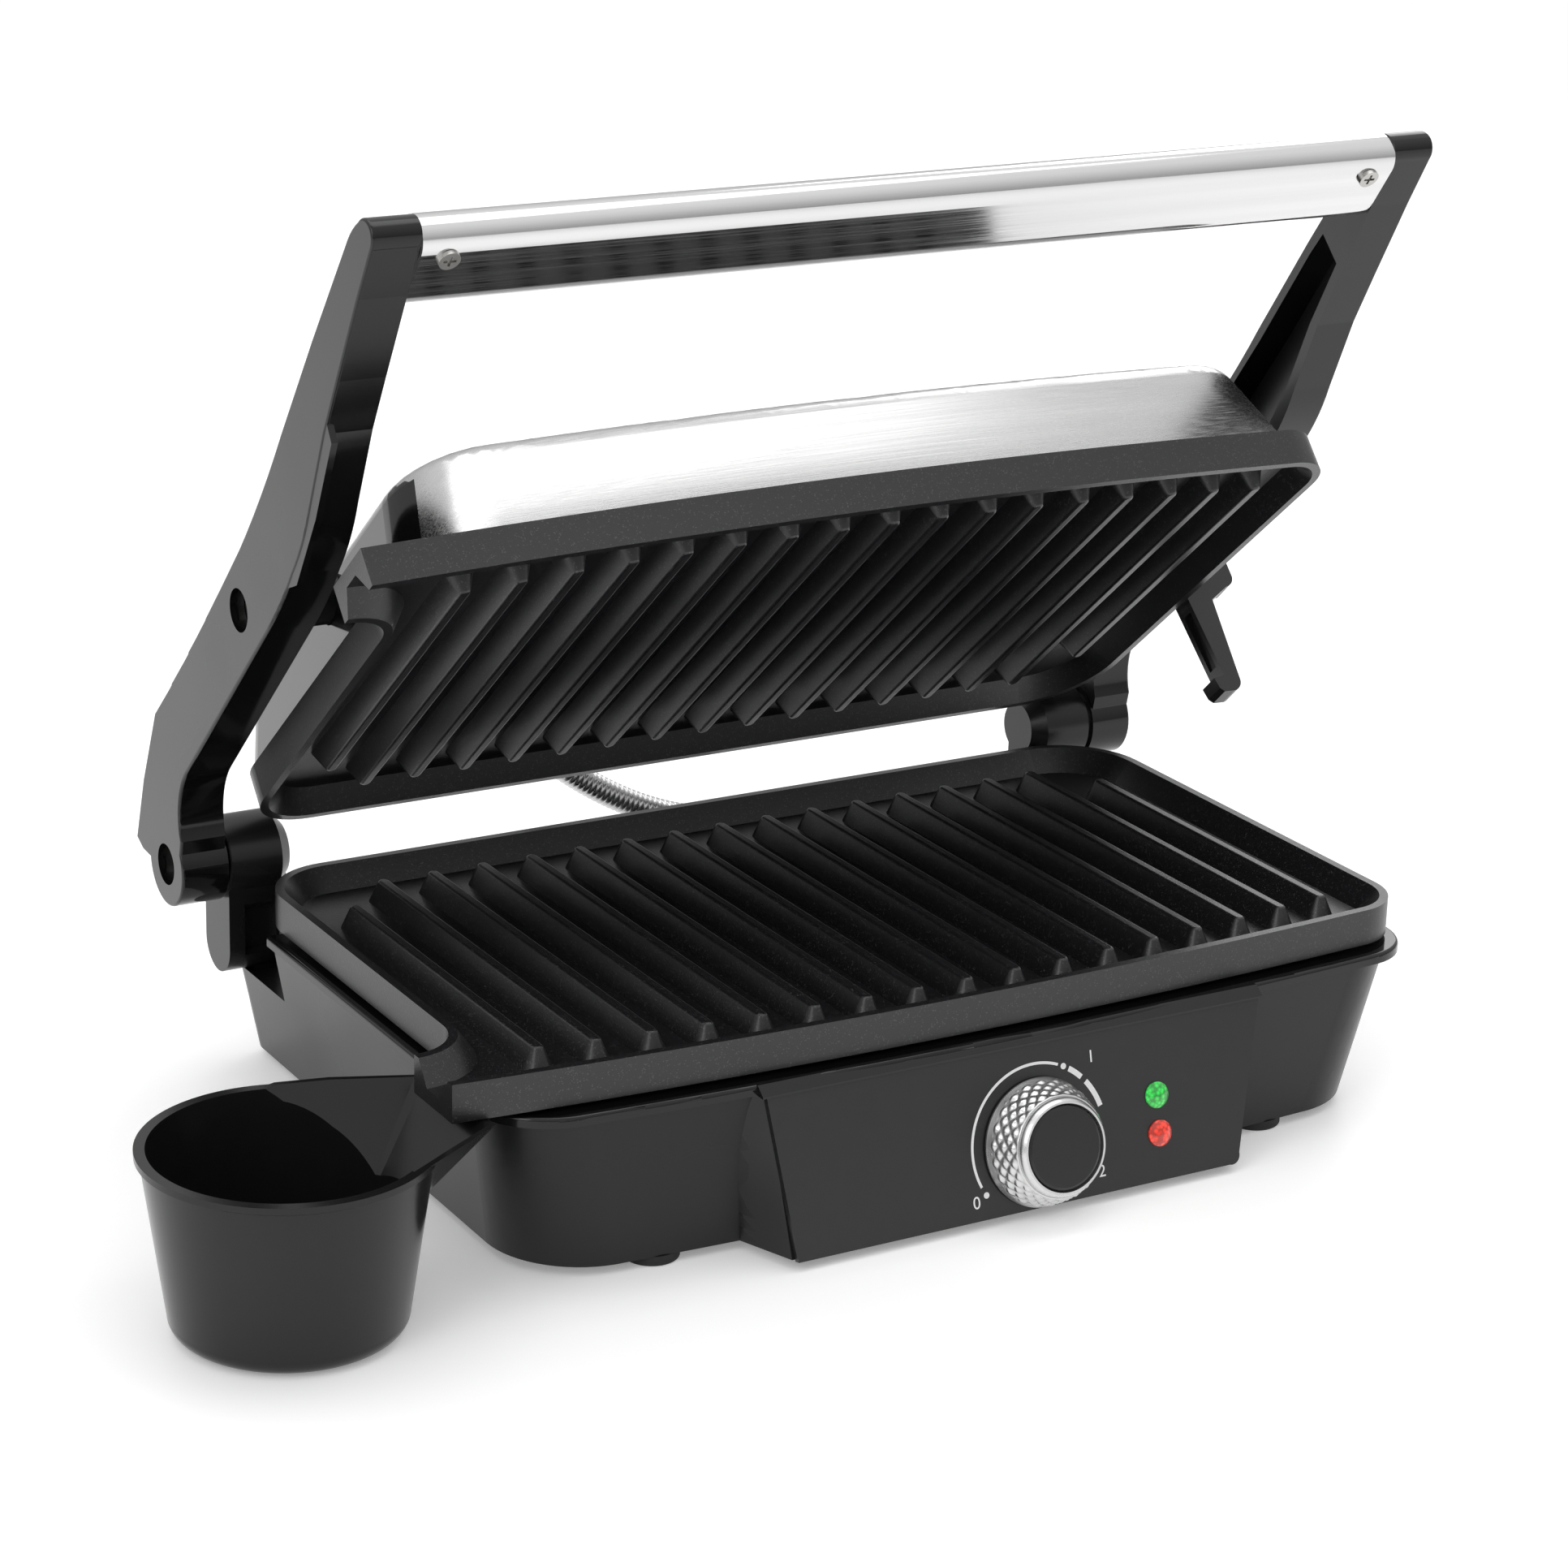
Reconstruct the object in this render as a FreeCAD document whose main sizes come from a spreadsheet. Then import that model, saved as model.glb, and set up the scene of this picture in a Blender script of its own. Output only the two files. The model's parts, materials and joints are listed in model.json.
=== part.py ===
"""Panini press: a contact grill with a floating ribbed lid, a folding handle frame and a drip cup.

Base frame: X across the press, Y from the cook to the hinge, Z up from the table, millimetres.
The hinge frame, the lid frame and the panel frame are turned from it about X only.
"""
import FreeCAD, Part
import math
import os
import re

import Sketcher

V = FreeCAD.Vector
doc = FreeCAD.newDocument("panini_press")

# ---------------------------------------------------------------- driving dimensions
DIMENSIONS = {
    "origin_shift_x": (-34.15, "middle of the footprint, from the press's own centre line"),
    "origin_shift_y": (71.8, "middle of the footprint, from the front of the outer ribs"),
    "crest_height": (63.0, "table to the tops of the lower ribs"),
    # grill plates
    "plate_left": (-146.4, "left side of the plate's rim"),
    "plate_right": (152.5, "right side of the plate's rim"),
    "plate_front": (-20.0, "front of the rim on the centre line"),
    "plate_rear": (155.2, "rear of the rim"),
    "front_bow_radius": (1755.0, "radius of the bowed front edge"),
    "plate_corner": (22.0, "corner radius of the rim at the rear"),
    "plate_front_corner": (18.0, "corner radius of the rim at the front right"),
    "plate_rim": (2.6, "width of the rim's flat top"),
    "plate_slope": (5.2, "run of the sloping wall inside the rim"),
    "plate_rim_rise": (0.4, "rim above the rib crests"),
    "plate_skirt": (10.6, "rib crests to the skirt's lower edge"),
    "plate_recess": (6.5, "rib height"),
    "plate_floor": (2.8, "thickness of the plate between the ribs"),
    "spout_end": (-162.0, "open end of the grease spout"),
    "spout_rear": (10.5, "outside of the spout's rear wall"),
    "spout_fillet": (15.0, "inside corner where the side wall turns into the spout"),
    "rib_centre": (1.0, "middle rib"),
    "rib_pitch": (16.3, "rib spacing"),
    "rib_count": (17, "ribs on each plate"),
    "rib_width": (9.0, "rib width at its foot"),
    "rib_draft": (24.0, "slope of a rib's sides, degrees"),
    "rib_bow": (9.1, "how far the middle rib starts ahead of the outer ribs"),
    "rib_rear": (137.5, "rear end of the ribs"),
    "rib_rear_outer": (121.5, "rear end of the two outer ribs"),
    # base
    "base_centre": (2.0, "centre line of the housing, from that of the plates"),
    "base_bottom": (3.0, "table to the housing's lower edge"),
    "flange_bottom": (48.0, "table to the underside of the flange"),
    "flange_top": (51.0, "table to the top of the flange"),
    "flange_half_width": (152.0, "half width over the flange"),
    "wall": (2.5, "housing wall"),
    "base_rear": (176.0, "rear of the hinge ledge"),
    "deck_rear": (157.5, "rear of the upper deck"),
    "ledge_height": (29.5, "table to the top of the hinge ledge"),
    "notch_front": (136.0, "front of the corner notches for the hinge posts"),
    "notch_inner": (127.0, "inner side of the corner notches, from the housing's centre line"),
    # control panel
    "panel_front": (-22.0, "front plane of the panel at the height of the rib crests"),
    "panel_lean": (14.036, "lean of the panel, degrees"),
    "panel_thickness": (2.0, "panel plate"),
    "dial_x": (10.5, "knob axis, from the centre line"),
    "dial_down": (43.3, "knob axis, down the panel from the rib crests"),
    "lamp_x": (51.0, "lamps, from the centre line"),
    "ready_down": (37.2, "upper lamp, down the panel"),
    "power_down": (48.3, "lower lamp, down the panel"),
    "knob_radius": (18.4, "knob at the panel"),
    "knob_face_radius": (13.7, "knob at its front"),
    "knob_height": (13.6, "front of the knob, from the panel"),
    "lens_radius": (3.8, "lamp lens"),
    # hinge and handle frame
    "hinge_back": (168.0, "hinge axis, behind the front of the outer ribs"),
    "hinge_height": (65.7, "hinge axis above the table"),
    "arm_angle": (44.7, "handle frame above its closed place, degrees"),
    "lid_angle": (41.2, "lid above its closed place, degrees"),
    "arm_inner": (154.0, "inner face of an arm"),
    "arm_outer": (168.0, "outer face of an arm"),
    "boss_inner": (152.6, "inner face of an arm's hinge boss"),
    "boss_radius": (12.7, "hinge boss"),
    "screw_well": (6.25, "radius of the wells that hold the pivot screws"),
    "pivot_shank": (4.0, "radius of the pivot screws' shanks"),
    "running_gap": (0.05, "radial clearance of a shank in an arm"),
    "pivot_forward": (106.8, "lid pivot ahead of the hinge, closed"),
    "pivot_up": (26.3, "lid pivot above the hinge, closed"),
    "post_inner": (132.0, "inner end of a hinge post's drum"),
    "post_outer": (152.0, "outer end of a hinge post's drum"),
    "drum_radius": (12.2, "hinge post's drum"),
    # lid
    "cover_centre": (1.5, "middle of the steel cover"),
    "cover_half_width": (146.5, "half width of the steel cover at its lower edge"),
    "cover_top_half_width": (138.5, "half width of the steel cover at its top"),
    "cover_bottom": (8.2, "lower edge of the cover above the hinge axis, closed"),
    "cover_top": (37.0, "top of the cover above the hinge axis, closed"),
    "cover_sheet": (0.8, "cover steel"),
    # drip cup
    "cup_x": (-205.0, "cup axis, from the centre line"),
    "cup_y": (-4.2, "cup axis, behind the front of the outer ribs"),
    "cup_height": (52.0, "table to the cup's rim"),
    "cup_rim_radius": (39.5, "outside of the rim"),
    "cup_foot_radius": (31.5, "outside of the foot"),
    "cup_wall": (1.6, "cup wall"),
    # spiral conduit
    "conduit_radius": (4.5, "outside of the conduit"),
    "conduit_bore": (3.4, "inside of the conduit"),
}

sheet = doc.addObject("Spreadsheet::Sheet", "Dims")
for row, (alias, (number, meaning)) in enumerate(DIMENSIONS.items(), start=1):
    sheet.set(f"A{row}", alias)
    sheet.set(f"B{row}", str(number))
    sheet.set(f"C{row}", meaning)
    sheet.setAlias(f"B{row}", alias)
doc.recompute()


def dim(alias):
    """A driving dimension's value."""
    return float(getattr(sheet, alias))


def bound(text):
    """An expression in plain aliases, written with the sheet's name before each."""
    return re.sub(r"[a-z][a-z_]+", lambda m: f"Dims.{m[0]}" if m[0] in DIMENSIONS else m[0], str(text))


def value(text):
    """What an expression in plain aliases comes to."""
    return float(sheet.evalExpression(bound(text))) if isinstance(text, str) else float(text)


# ---------------------------------------------------------------- frames
def turned(x, y, z, degrees=0.0):
    return FreeCAD.Placement(V(x, y, z), FreeCAD.Rotation(V(1, 0, 0), degrees))


BASE = turned(-dim("origin_shift_x"), -dim("origin_shift_y"), 0)
ARMS = BASE.multiply(turned(0, dim("hinge_back"), dim("hinge_height"), -dim("arm_angle")))
LID = ARMS.multiply(turned(0, -dim("pivot_forward"), dim("pivot_up"), dim("arm_angle") - dim("lid_angle")))
PANEL = BASE.multiply(turned(0, dim("panel_front"), dim("crest_height"), -dim("panel_lean")))
# plate coordinates seen from the lid's pivot
LID_PLATE = LID.multiply(turned(0, dim("pivot_forward") - dim("hinge_back"),
                                dim("crest_height") - dim("hinge_height") - dim("pivot_up")))
BASE_PLATE = BASE.multiply(turned(0, 0, dim("crest_height")))
# the lid seen in hinge coordinates, closed: Y is minus the reach ahead of the hinge, Z the height over it
LID_REACH = LID.multiply(turned(0, dim("pivot_forward"), -dim("pivot_up")))

nodes = []


def keep(item, label, frame=None):
    """Name a finished sub-part and put it in its frame."""
    item.Label = label
    if frame is not None:
        item.Placement = frame.multiply(item.Placement)
    nodes.append(item)
    return item


# ---------------------------------------------------------------- sketches and features
def new_body(label, frame):
    return keep(doc.addObject("PartDesign::Body", label), label, frame)


def new_sketch(body, name, plane="XY_Plane", offset=0):
    """A sketch on one of the body's own origin planes, moved along its normal."""
    sketch = body.newObject("Sketcher::SketchObject", name)
    role = next(f for f in body.Origin.OriginFeatures if f.Role == plane)
    sketch.AttachmentSupport = (role, "")
    sketch.MapMode = "FlatFace"
    if isinstance(offset, str):
        sketch.setExpression("AttachmentOffset.Base.z", bound(offset))
    else:
        sketch.AttachmentOffset = FreeCAD.Placement(V(0, 0, offset), FreeCAD.Rotation())
    return sketch


def pins_on(edge, end, x=None, y=None):
    """Constraints that hold a vertex from the sketch's origin, each with the expression it follows."""
    pins = []
    for kind, axis, where in (("DistanceX", -2, x), ("DistanceY", -1, y)):
        if where is None:
            continue
        number = value(where)
        if abs(number) < 1e-9:
            pins.append((Sketcher.Constraint("PointOnObject", edge, end, axis), None))
        else:
            rule = bound(where) if isinstance(where, str) else None
            pins.append((Sketcher.Constraint(kind, -1, 1, edge, end, number), rule))
    return pins


def hold(sketch, pins):
    """Add the constraints in one go, then tie the driven ones to the sheet."""
    first = sketch.ConstraintCount
    sketch.addConstraint([constraint for constraint, _ in pins])
    for index, (_, rule) in enumerate(pins, start=first):
        if rule:
            sketch.setExpression(f"Constraints[{index}]", rule)


def bend_pin(sketch, edge):
    """Hold an arc's centre along the one line its two ends leave it free on."""
    arc = sketch.Geometry[edge]
    chord = arc.EndPoint - arc.StartPoint
    if abs(chord.x) > abs(chord.y):
        return pins_on(edge, 3, y=arc.Center.y)
    return pins_on(edge, 3, x=arc.Center.x)


def trace(sketch, *steps):
    """A closed outline. A step is (x, y), a line to there, or (mid x, mid y, x, y), an arc through the middle."""
    points = [V(value(s[-2]), value(s[-1]), 0) for s in steps]
    edges, pins = [], []
    for i, step in enumerate(steps):
        start, end = points[i - 1], points[i]
        if len(step) == 2:
            curve = Part.LineSegment(start, end)
        else:
            middle = V(value(step[0]), value(step[1]), 0)
            clockwise = (middle - start).cross(end - middle).z < 0
            curve = Part.Arc(end, middle, start) if clockwise else Part.Arc(start, middle, end)
        edge = sketch.addGeometry(curve, False)
        forward = sketch.Geometry[edge].StartPoint.distanceToPoint(start) < 1e-6
        edges.append((edge, 1 if forward else 2, 2 if forward else 1))
        if len(step) == 4:
            pins += bend_pin(sketch, edge)
    for i, (edge, _, last) in enumerate(edges):
        following, first, _ = edges[(i + 1) % len(edges)]
        pins.append((Sketcher.Constraint("Coincident", edge, last, following, first), None))
        pins += pins_on(edge, last, steps[i][-2], steps[i][-1])
    hold(sketch, pins)
    return sketch


def ring(sketch, x, y, radius):
    """A circle held by its centre and radius."""
    edge = sketch.addGeometry(Part.Circle(V(value(x), value(y), 0), V(0, 0, 1), value(radius)), False)
    rule = bound(radius) if isinstance(radius, str) else None
    hold(sketch, pins_on(edge, 3, x, y) + [(Sketcher.Constraint("Radius", edge, value(radius)), rule)])
    return sketch


def block(sketch, x0, y0, x1, y1):
    """A rectangle between two corners."""
    return trace(sketch, (x1, y0), (x1, y1), (x0, y1), (x0, y0))


def feature(body, kind, name, sketch, length=None, back=False, taper=0.0):
    """A pad or a pocket. back turns it against its own direction."""
    made = body.newObject(f"PartDesign::{kind}", name)
    made.Profile = sketch
    if isinstance(length, str):
        made.setExpression("Length", bound(length))
    elif length is not None:
        made.Length = length
    made.Reversed = back
    if taper:
        made.TaperAngle = taper
    sketch.Visibility = False
    body.Tip = made
    return made


def spin(body, kind, name, sketch, axis="V_Axis"):
    """A revolution or a groove about one of the sketch's axes."""
    made = body.newObject(f"PartDesign::{kind}", name)
    made.Profile = sketch
    made.ReferenceAxis = (sketch, [axis])
    made.Angle = 360
    body.Tip = made
    return made


def loft(body, kind, name, lower, upper, ruled=False):
    made = body.newObject(f"PartDesign::{kind}Loft", name)
    made.Profile = lower
    made.Sections = [upper]
    made.Ruled = ruled
    body.Tip = made
    return made


def dress(body, kind, name, chosen):
    """A fillet or a chamfer on the edges of the body's tip that the test picks."""
    doc.recompute()
    base = body.Tip
    picked = [f"Edge{i}" for i, edge in enumerate(base.Shape.Edges, start=1) if chosen(edge)]
    made = body.newObject(f"PartDesign::{kind}", name)
    made.Base = (base, picked)
    body.Tip = made
    return made


def round_edges(body, name, radius, chosen):
    dress(body, "Fillet", name, chosen).Radius = radius


def bevel_edges(body, name, size, chosen):
    dress(body, "Chamfer", name, chosen).Size = size


def centre_of(edge):
    return edge.BoundBox.Center


def solid(label, frame, shape):
    """A piece whose outline no sketch feature gives, made with Part's own functions."""
    made = doc.addObject("Part::Feature", label)
    made.Shape = shape
    return keep(made, label, frame)


def tube_x(x0, x1, y, z, radius):
    """A cylinder along X between two ends."""
    return Part.makeCylinder(radius, x1 - x0, V(x0, y, z), V(1, 0, 0))


def cuboid(x0, y0, z0, x1, y1, z1):
    return Part.makeBox(x1 - x0, y1 - y0, z1 - z0, V(x0, y0, z0))


# ---------------------------------------------------------------- outlines that repeat
def bow(x, front):
    """The bowed front edge's Y at x."""
    return front + x * x / (2 * dim("front_bow_radius"))


DIAGONAL = math.sqrt(0.5)


def tray_outline(sketch, half_width, front, rear, front_corner, rear_corner, centre=0.0, right_corner=None):
    """A rounded rectangle with a bowed front edge. right_corner is the front right one's own radius."""
    fx, rx = half_width - front_corner, half_width - rear_corner
    side_front = bow(fx, front) + front_corner
    side_rear = rear - rear_corner
    fd, rd = front_corner * DIAGONAL, rear_corner * DIAGONAL
    turn = front_corner if right_corner is None else right_corner
    tx, td = half_width - turn, turn * DIAGONAL
    side_right = bow(tx, front) + turn
    return trace(
        sketch,
        (centre, front, centre + tx, bow(tx, front)),
        (centre + tx + td, side_right - td, centre + half_width, side_right),
        (centre + half_width, side_rear),
        (centre + rx + rd, side_rear + rd, centre + rx, rear),
        (centre - rx, rear),
        (centre - rx - rd, side_rear + rd, centre - half_width, side_rear),
        (centre - half_width, side_front),
        (centre - fx - fd, side_front - fd, centre - fx, bow(fx, front)),
    )


def plate_outline(sketch, inset=0.0, end=None):
    """The grill plate's rim, or a line a given distance inside it, with the spout at the front left."""
    left, right = dim("plate_left") + inset, dim("plate_right") - inset
    front, rear = dim("plate_front") + inset, dim("plate_rear") - inset
    corner, nose = dim("plate_corner") - inset, dim("plate_front_corner") - inset
    turn = dim("spout_fillet") + inset
    turn_x = dim("plate_left") - dim("spout_fillet")
    turn_y = dim("spout_rear") + dim("spout_fillet")
    end = dim("spout_end") if end is None else end
    cx, cy = right - nose, rear - corner
    side_front = bow(cx, front) + nose
    far = corner + 4.0
    d, n, t, f = (r * DIAGONAL for r in (corner, nose, turn, far))
    return trace(
        sketch,
        ((end + cx) / 2, bow((end + cx) / 2, front), cx, bow(cx, front)),
        (cx + n, side_front - n, right, side_front),
        (right, rear - far),
        (right - far + f, rear - far + f, right - far, rear),
        (left + corner, rear),
        (left + corner - d, cy + d, left, cy),
        (left, turn_y),
        (turn_x + t, turn_y - t, turn_x, turn_y - turn),
        (end, turn_y - turn),
        (end, bow(end, front)),
    )


# ---------------------------------------------------------------- grill plates and heaters
def grill_plate(label, frame, up):
    """A cast plate. up is 1 for the lower plate, whose ribs point up, and -1 for the upper one."""
    down = up < 0
    body = new_body(label, frame)

    def level(height):
        return f"{'-' if down else ''}({height})"

    rim = new_sketch(body, "RimOutline", offset=level("plate_rim_rise"))
    plate_outline(rim)
    feature(body, "Pad", "Casting", rim, "plate_rim_rise + plate_skirt", back=not down)
    tray = new_sketch(body, "TrayTop", offset=level("plate_rim_rise"))
    plate_outline(tray, dim("plate_rim"), dim("spout_end") - 4)
    tray_floor = new_sketch(body, "TrayFloor", offset=level("-plate_recess"))
    plate_outline(tray_floor, dim("plate_rim") + dim("plate_slope"), dim("spout_end") - 4)
    loft(body, "Subtractive", "Tray", tray, tray_floor, ruled=True)
    under = new_sketch(body, "UndersideOutline", offset=level("-plate_skirt"))
    plate_outline(under, dim("plate_rim") + 0.9, dim("plate_left") - 6)
    feature(body, "Pocket", "Underside", under, "plate_skirt - plate_recess - plate_floor", back=not down)
    feet = new_sketch(body, "RibFeet", offset=level("-plate_recess - 0.2"))
    outermost = (int(dim("rib_count")) - 1) // 2
    half = dim("rib_width") / 2
    for i in range(-outermost, outermost + 1):
        x = dim("rib_centre") + i * dim("rib_pitch")
        front = -dim("rib_bow") * (1 - (i / outermost) ** 2) + half - 1.5
        rear = dim("rib_rear_outer") if abs(i) == outermost else dim("rib_rear")
        rear = rear - half + 1.5
        trace(feet, (x, front - half, x + half, front), (x + half, rear),
              (x, rear + half, x - half, rear), (x - half, front))
    feature(body, "Pad", "Ribs", feet, "plate_recess + 0.2", back=down, taper=-dim("rib_draft"))
    round_edges(body, "RibCrests", 1.0,
                lambda e: abs(e.BoundBox.ZMin) < 1e-3 and abs(e.BoundBox.ZMax) < 1e-3)
    return body


HEATER_RUN = 92.0
HEATER_FRONT, HEATER_REAR = 14.0, 122.0
HEATER_RADIUS = 3.3


def heater(label, frame, up):
    """A sheathed heating element bent to a U with its two cold ends at the rear."""
    drop = -up * (dim("plate_recess") + dim("plate_floor") + HEATER_RADIUS)
    bend = 24.0
    d = bend * DIAGONAL
    x, front, rear = HEATER_RUN, HEATER_FRONT, HEATER_REAR
    edges = [
        Part.LineSegment(V(-x, rear, drop), V(-x, front + bend, drop)),
        Part.Arc(V(-x, front + bend, drop), V(-x + bend - d, front + bend - d, drop), V(-x + bend, front, drop)),
        Part.LineSegment(V(-x + bend, front, drop), V(x - bend, front, drop)),
        Part.Arc(V(x - bend, front, drop), V(x - bend + d, front + bend - d, drop), V(x, front + bend, drop)),
        Part.LineSegment(V(x, front + bend, drop), V(x, rear, drop)),
    ]
    path = Part.Wire([e.toShape() for e in edges])
    section = Part.Wire(Part.makeCircle(HEATER_RADIUS, V(-x, rear, drop), V(0, 1, 0)))
    pipe = path.makePipeShell([section], True, False)
    return solid(label, frame, pipe)


grill_plate("lower_plate", BASE_PLATE, 1)
grill_plate("upper_plate", LID_PLATE, -1)
heater("lower_heater", BASE_PLATE, 1)
heater("upper_heater", LID_PLATE, -1)

PLATE_SEAT = dim("crest_height") - dim("plate_recess") - dim("plate_floor")
REFLECTOR_HALF, REFLECTOR_FRONT, REFLECTOR_REAR = 104.0, 8.0, 132.0
SEAT_DROP = dim("plate_recess") + dim("plate_floor")
REFLECTOR_DROP = SEAT_DROP + 2 * HEATER_RADIUS + 0.5


def reflector(label, frame, up):
    """A thin dish beyond the heater, hung from the plate on four formed posts."""
    body = new_body(label, frame)
    down = up < 0
    edge = new_sketch(body, "DishOutline", offset=-up * REFLECTOR_DROP)
    block(edge, -REFLECTOR_HALF, REFLECTOR_FRONT, REFLECTOR_HALF, REFLECTOR_REAR)
    feature(body, "Pad", "Dish", edge, 0.8, back=not down)
    posts = new_sketch(body, "PostCircles", offset=-up * REFLECTOR_DROP)
    for x in (-60.0, 60.0):
        for y in (40.0, 100.0):
            ring(posts, x, y, 4.0)
    feature(body, "Pad", "Posts", posts, REFLECTOR_DROP - SEAT_DROP, back=down)
    return body


def fuse(label, frame, up):
    """A cartridge thermal fuse that lies against the plate."""
    radius = 2.2
    can = Part.makeCylinder(radius, 14, V(-7, 70, -up * (SEAT_DROP + radius)), V(1, 0, 0))
    leads = Part.makeCylinder(0.6, 30, V(-15, 70, -up * (SEAT_DROP + radius)), V(1, 0, 0))
    return solid(label, frame, can.fuse(leads).removeSplitter())


reflector("lower_reflector", BASE_PLATE, 1)
reflector("upper_reflector", LID_PLATE, -1)
fuse("lower_fuse", BASE_PLATE, 1)
fuse("upper_fuse", LID_PLATE, -1)

# ---------------------------------------------------------------- housing
CENTRE = dim("base_centre")
BOTTOM, FLANGE, DECK = dim("base_bottom"), dim("flange_bottom"), dim("flange_top")
WALL = dim("wall")
LEDGE_UNDER = dim("ledge_height") - WALL
FOOT_OUTLINE = {"half_width": 141.5, "front": -19.5, "rear": 173.0, "front_corner": 28.0, "rear_corner": 8.0}
TOP_OUTLINE = {"half_width": 150.0, "front": -23.5, "rear": 176.0, "front_corner": 24.0, "rear_corner": 8.0}
LEAN = math.tan(math.radians(dim("panel_lean")))
SHEAR = 1 / math.cos(math.radians(dim("panel_lean")))
PLATE_BOSSES = [(-122.0, 5.0), (122.0, 5.0), (-115.0, 120.0), (115.0, 120.0)]
COVER_POSTS = [(-112.0, -6.0), (114.0, -6.0), (-112.0, 146.0), (114.0, 146.0)]
KEEPER = {"front": 85.0, "rear": 97.0, "bottom": 41.0, "top": 44.5}


def panel_plane_y(z, behind=0.0):
    """Y of the panel's front plane at a height, or of a plane a given distance behind it."""
    return dim("panel_front") - LEAN * (dim("crest_height") - z) + SHEAR * behind


def outline_at(z, inset):
    """The housing's outline at a height between its foot and its flange, moved inward."""
    share = (z - BOTTOM) / (FLANGE - BOTTOM)
    mixed = {k: a + share * (TOP_OUTLINE[k] - a) for k, a in FOOT_OUTLINE.items()}
    mixed["half_width"] -= inset
    mixed["front"] += inset
    mixed["rear"] -= inset
    mixed["front_corner"] -= inset
    mixed["rear_corner"] -= inset
    return mixed


def lens_well(sketch, radius):
    for down in (dim("ready_down"), dim("power_down")):
        ring(sketch, dim("lamp_x"), -down, radius)


def panel_sketch(body, name, behind):
    """A sketch on the panel's leaning plane, x across and y up the panel."""
    sketch = new_sketch(body, name, "XZ_Plane")
    lean = math.radians(dim("panel_lean"))
    height = dim("crest_height") - behind * math.sin(lean)
    depth = dim("panel_front") + behind * math.cos(lean)
    sketch.AttachmentOffset = FreeCAD.Placement(
        V(0, height, -depth), FreeCAD.Rotation(V(1, 0, 0), -dim("panel_lean")))
    return sketch


def panel_quad(sketch, z, behind, left, right, rear):
    """The panel housing's cross-section at a height: left and right are (rear x, front x)."""
    front = panel_plane_y(z, behind)
    return trace(sketch, (left[1], front), (right[1], front), (right[0], rear), (left[0], rear))


housing = new_body("base_housing", BASE)
foot_sketch = new_sketch(housing, "FootOutline", offset="base_bottom")
tray_outline(foot_sketch, centre=CENTRE, **outline_at(BOTTOM, 0))
brim_sketch = new_sketch(housing, "WallTopOutline", offset="flange_bottom")
tray_outline(brim_sketch, centre=CENTRE, **outline_at(FLANGE, 0))
loft(housing, "Additive", "Walls", foot_sketch, brim_sketch)
flange = new_sketch(housing, "FlangeOutline", offset="flange_bottom")
tray_outline(flange, dim("flange_half_width"), -25.0, 176.0, 24.0, 8.0, CENTRE, 19.0)
feature(housing, "Pad", "Flange", flange, "flange_top - flange_bottom")
round_edges(housing, "FlangeLip", 1.2,
            lambda e: abs(e.BoundBox.ZMin - DECK) < 1e-3 and abs(e.BoundBox.ZMax - DECK) < 1e-3)
nose_foot = new_sketch(housing, "PanelFoot", offset="base_bottom")
panel_quad(nose_foot, BOTTOM, 2.0, (-78.5, -70.5), (93.0, 77.5), -14.0)
nose_top = new_sketch(housing, "PanelTop", offset=FLANGE)
panel_quad(nose_top, FLANGE, 2.0, (-88.0, -73.5), (95.0, 88.5), -14.0)
loft(housing, "Additive", "PanelHousing", nose_foot, nose_top, ruled=True)
ledge = new_sketch(housing, "LedgeProfile", "YZ_Plane", -76.0)
trace(ledge, (-26.3, 48.0), (-26.3, 48.6), (-23.2, 51.0), (-18.0, 51.0), (-18.0, 48.0))
feature(housing, "Pad", "PanelLedge", ledge, 166.0)
notch = new_sketch(housing, "HingeLedge", offset="ledge_height")
inner, outer = dim("notch_inner"), dim("flange_half_width") + 5
rear, far = dim("deck_rear"), dim("base_rear") + 5
step = dim("notch_front")
trace(notch, (CENTRE + outer, step), (CENTRE + outer, far), (CENTRE - outer, far), (CENTRE - outer, step),
      (CENTRE - inner, step), (CENTRE - inner, rear), (CENTRE + inner, rear), (CENTRE + inner, step))
feature(housing, "Pocket", "LedgeCut", notch, 40.0, back=True)
low_cavity = new_sketch(housing, "LowerCavityFoot", offset="base_bottom")
tray_outline(low_cavity, centre=CENTRE, **outline_at(BOTTOM, WALL))
mid_cavity = new_sketch(housing, "LowerCavityTop", offset=LEDGE_UNDER)
tray_outline(mid_cavity, centre=CENTRE, **outline_at(LEDGE_UNDER, WALL))
loft(housing, "Subtractive", "LowerCavity", low_cavity, mid_cavity)
high = outline_at(LEDGE_UNDER, WALL)
high_cavity = new_sketch(housing, "UpperCavity", offset="flange_top - wall")
half, corner = high["half_width"], high["front_corner"]
reach, bend = half - corner, corner * DIAGONAL
side = bow(reach, high["front"]) + corner
trace(high_cavity,
      (CENTRE, high["front"], CENTRE + reach, bow(reach, high["front"])),
      (CENTRE + reach + bend, side - bend, CENTRE + half, side),
      (CENTRE + half, step - WALL), (CENTRE + inner - WALL, step - WALL),
      (CENTRE + inner - WALL, rear - WALL), (CENTRE - inner + WALL, rear - WALL),
      (CENTRE - inner + WALL, step - WALL), (CENTRE - half, step - WALL),
      (CENTRE - half, side),
      (CENTRE - reach - bend, side - bend, CENTRE - reach, bow(reach, high["front"])))
feature(housing, "Pocket", "UpperCavityCut", high_cavity, f"flange_top - 2 * wall - {LEDGE_UNDER} + wall")
nose_low = new_sketch(housing, "PanelCavityFoot", offset="base_bottom")
panel_quad(nose_low, BOTTOM, 2.0 + WALL, (-75.5, -68.0), (89.5, 75.0), -12.0)
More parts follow.
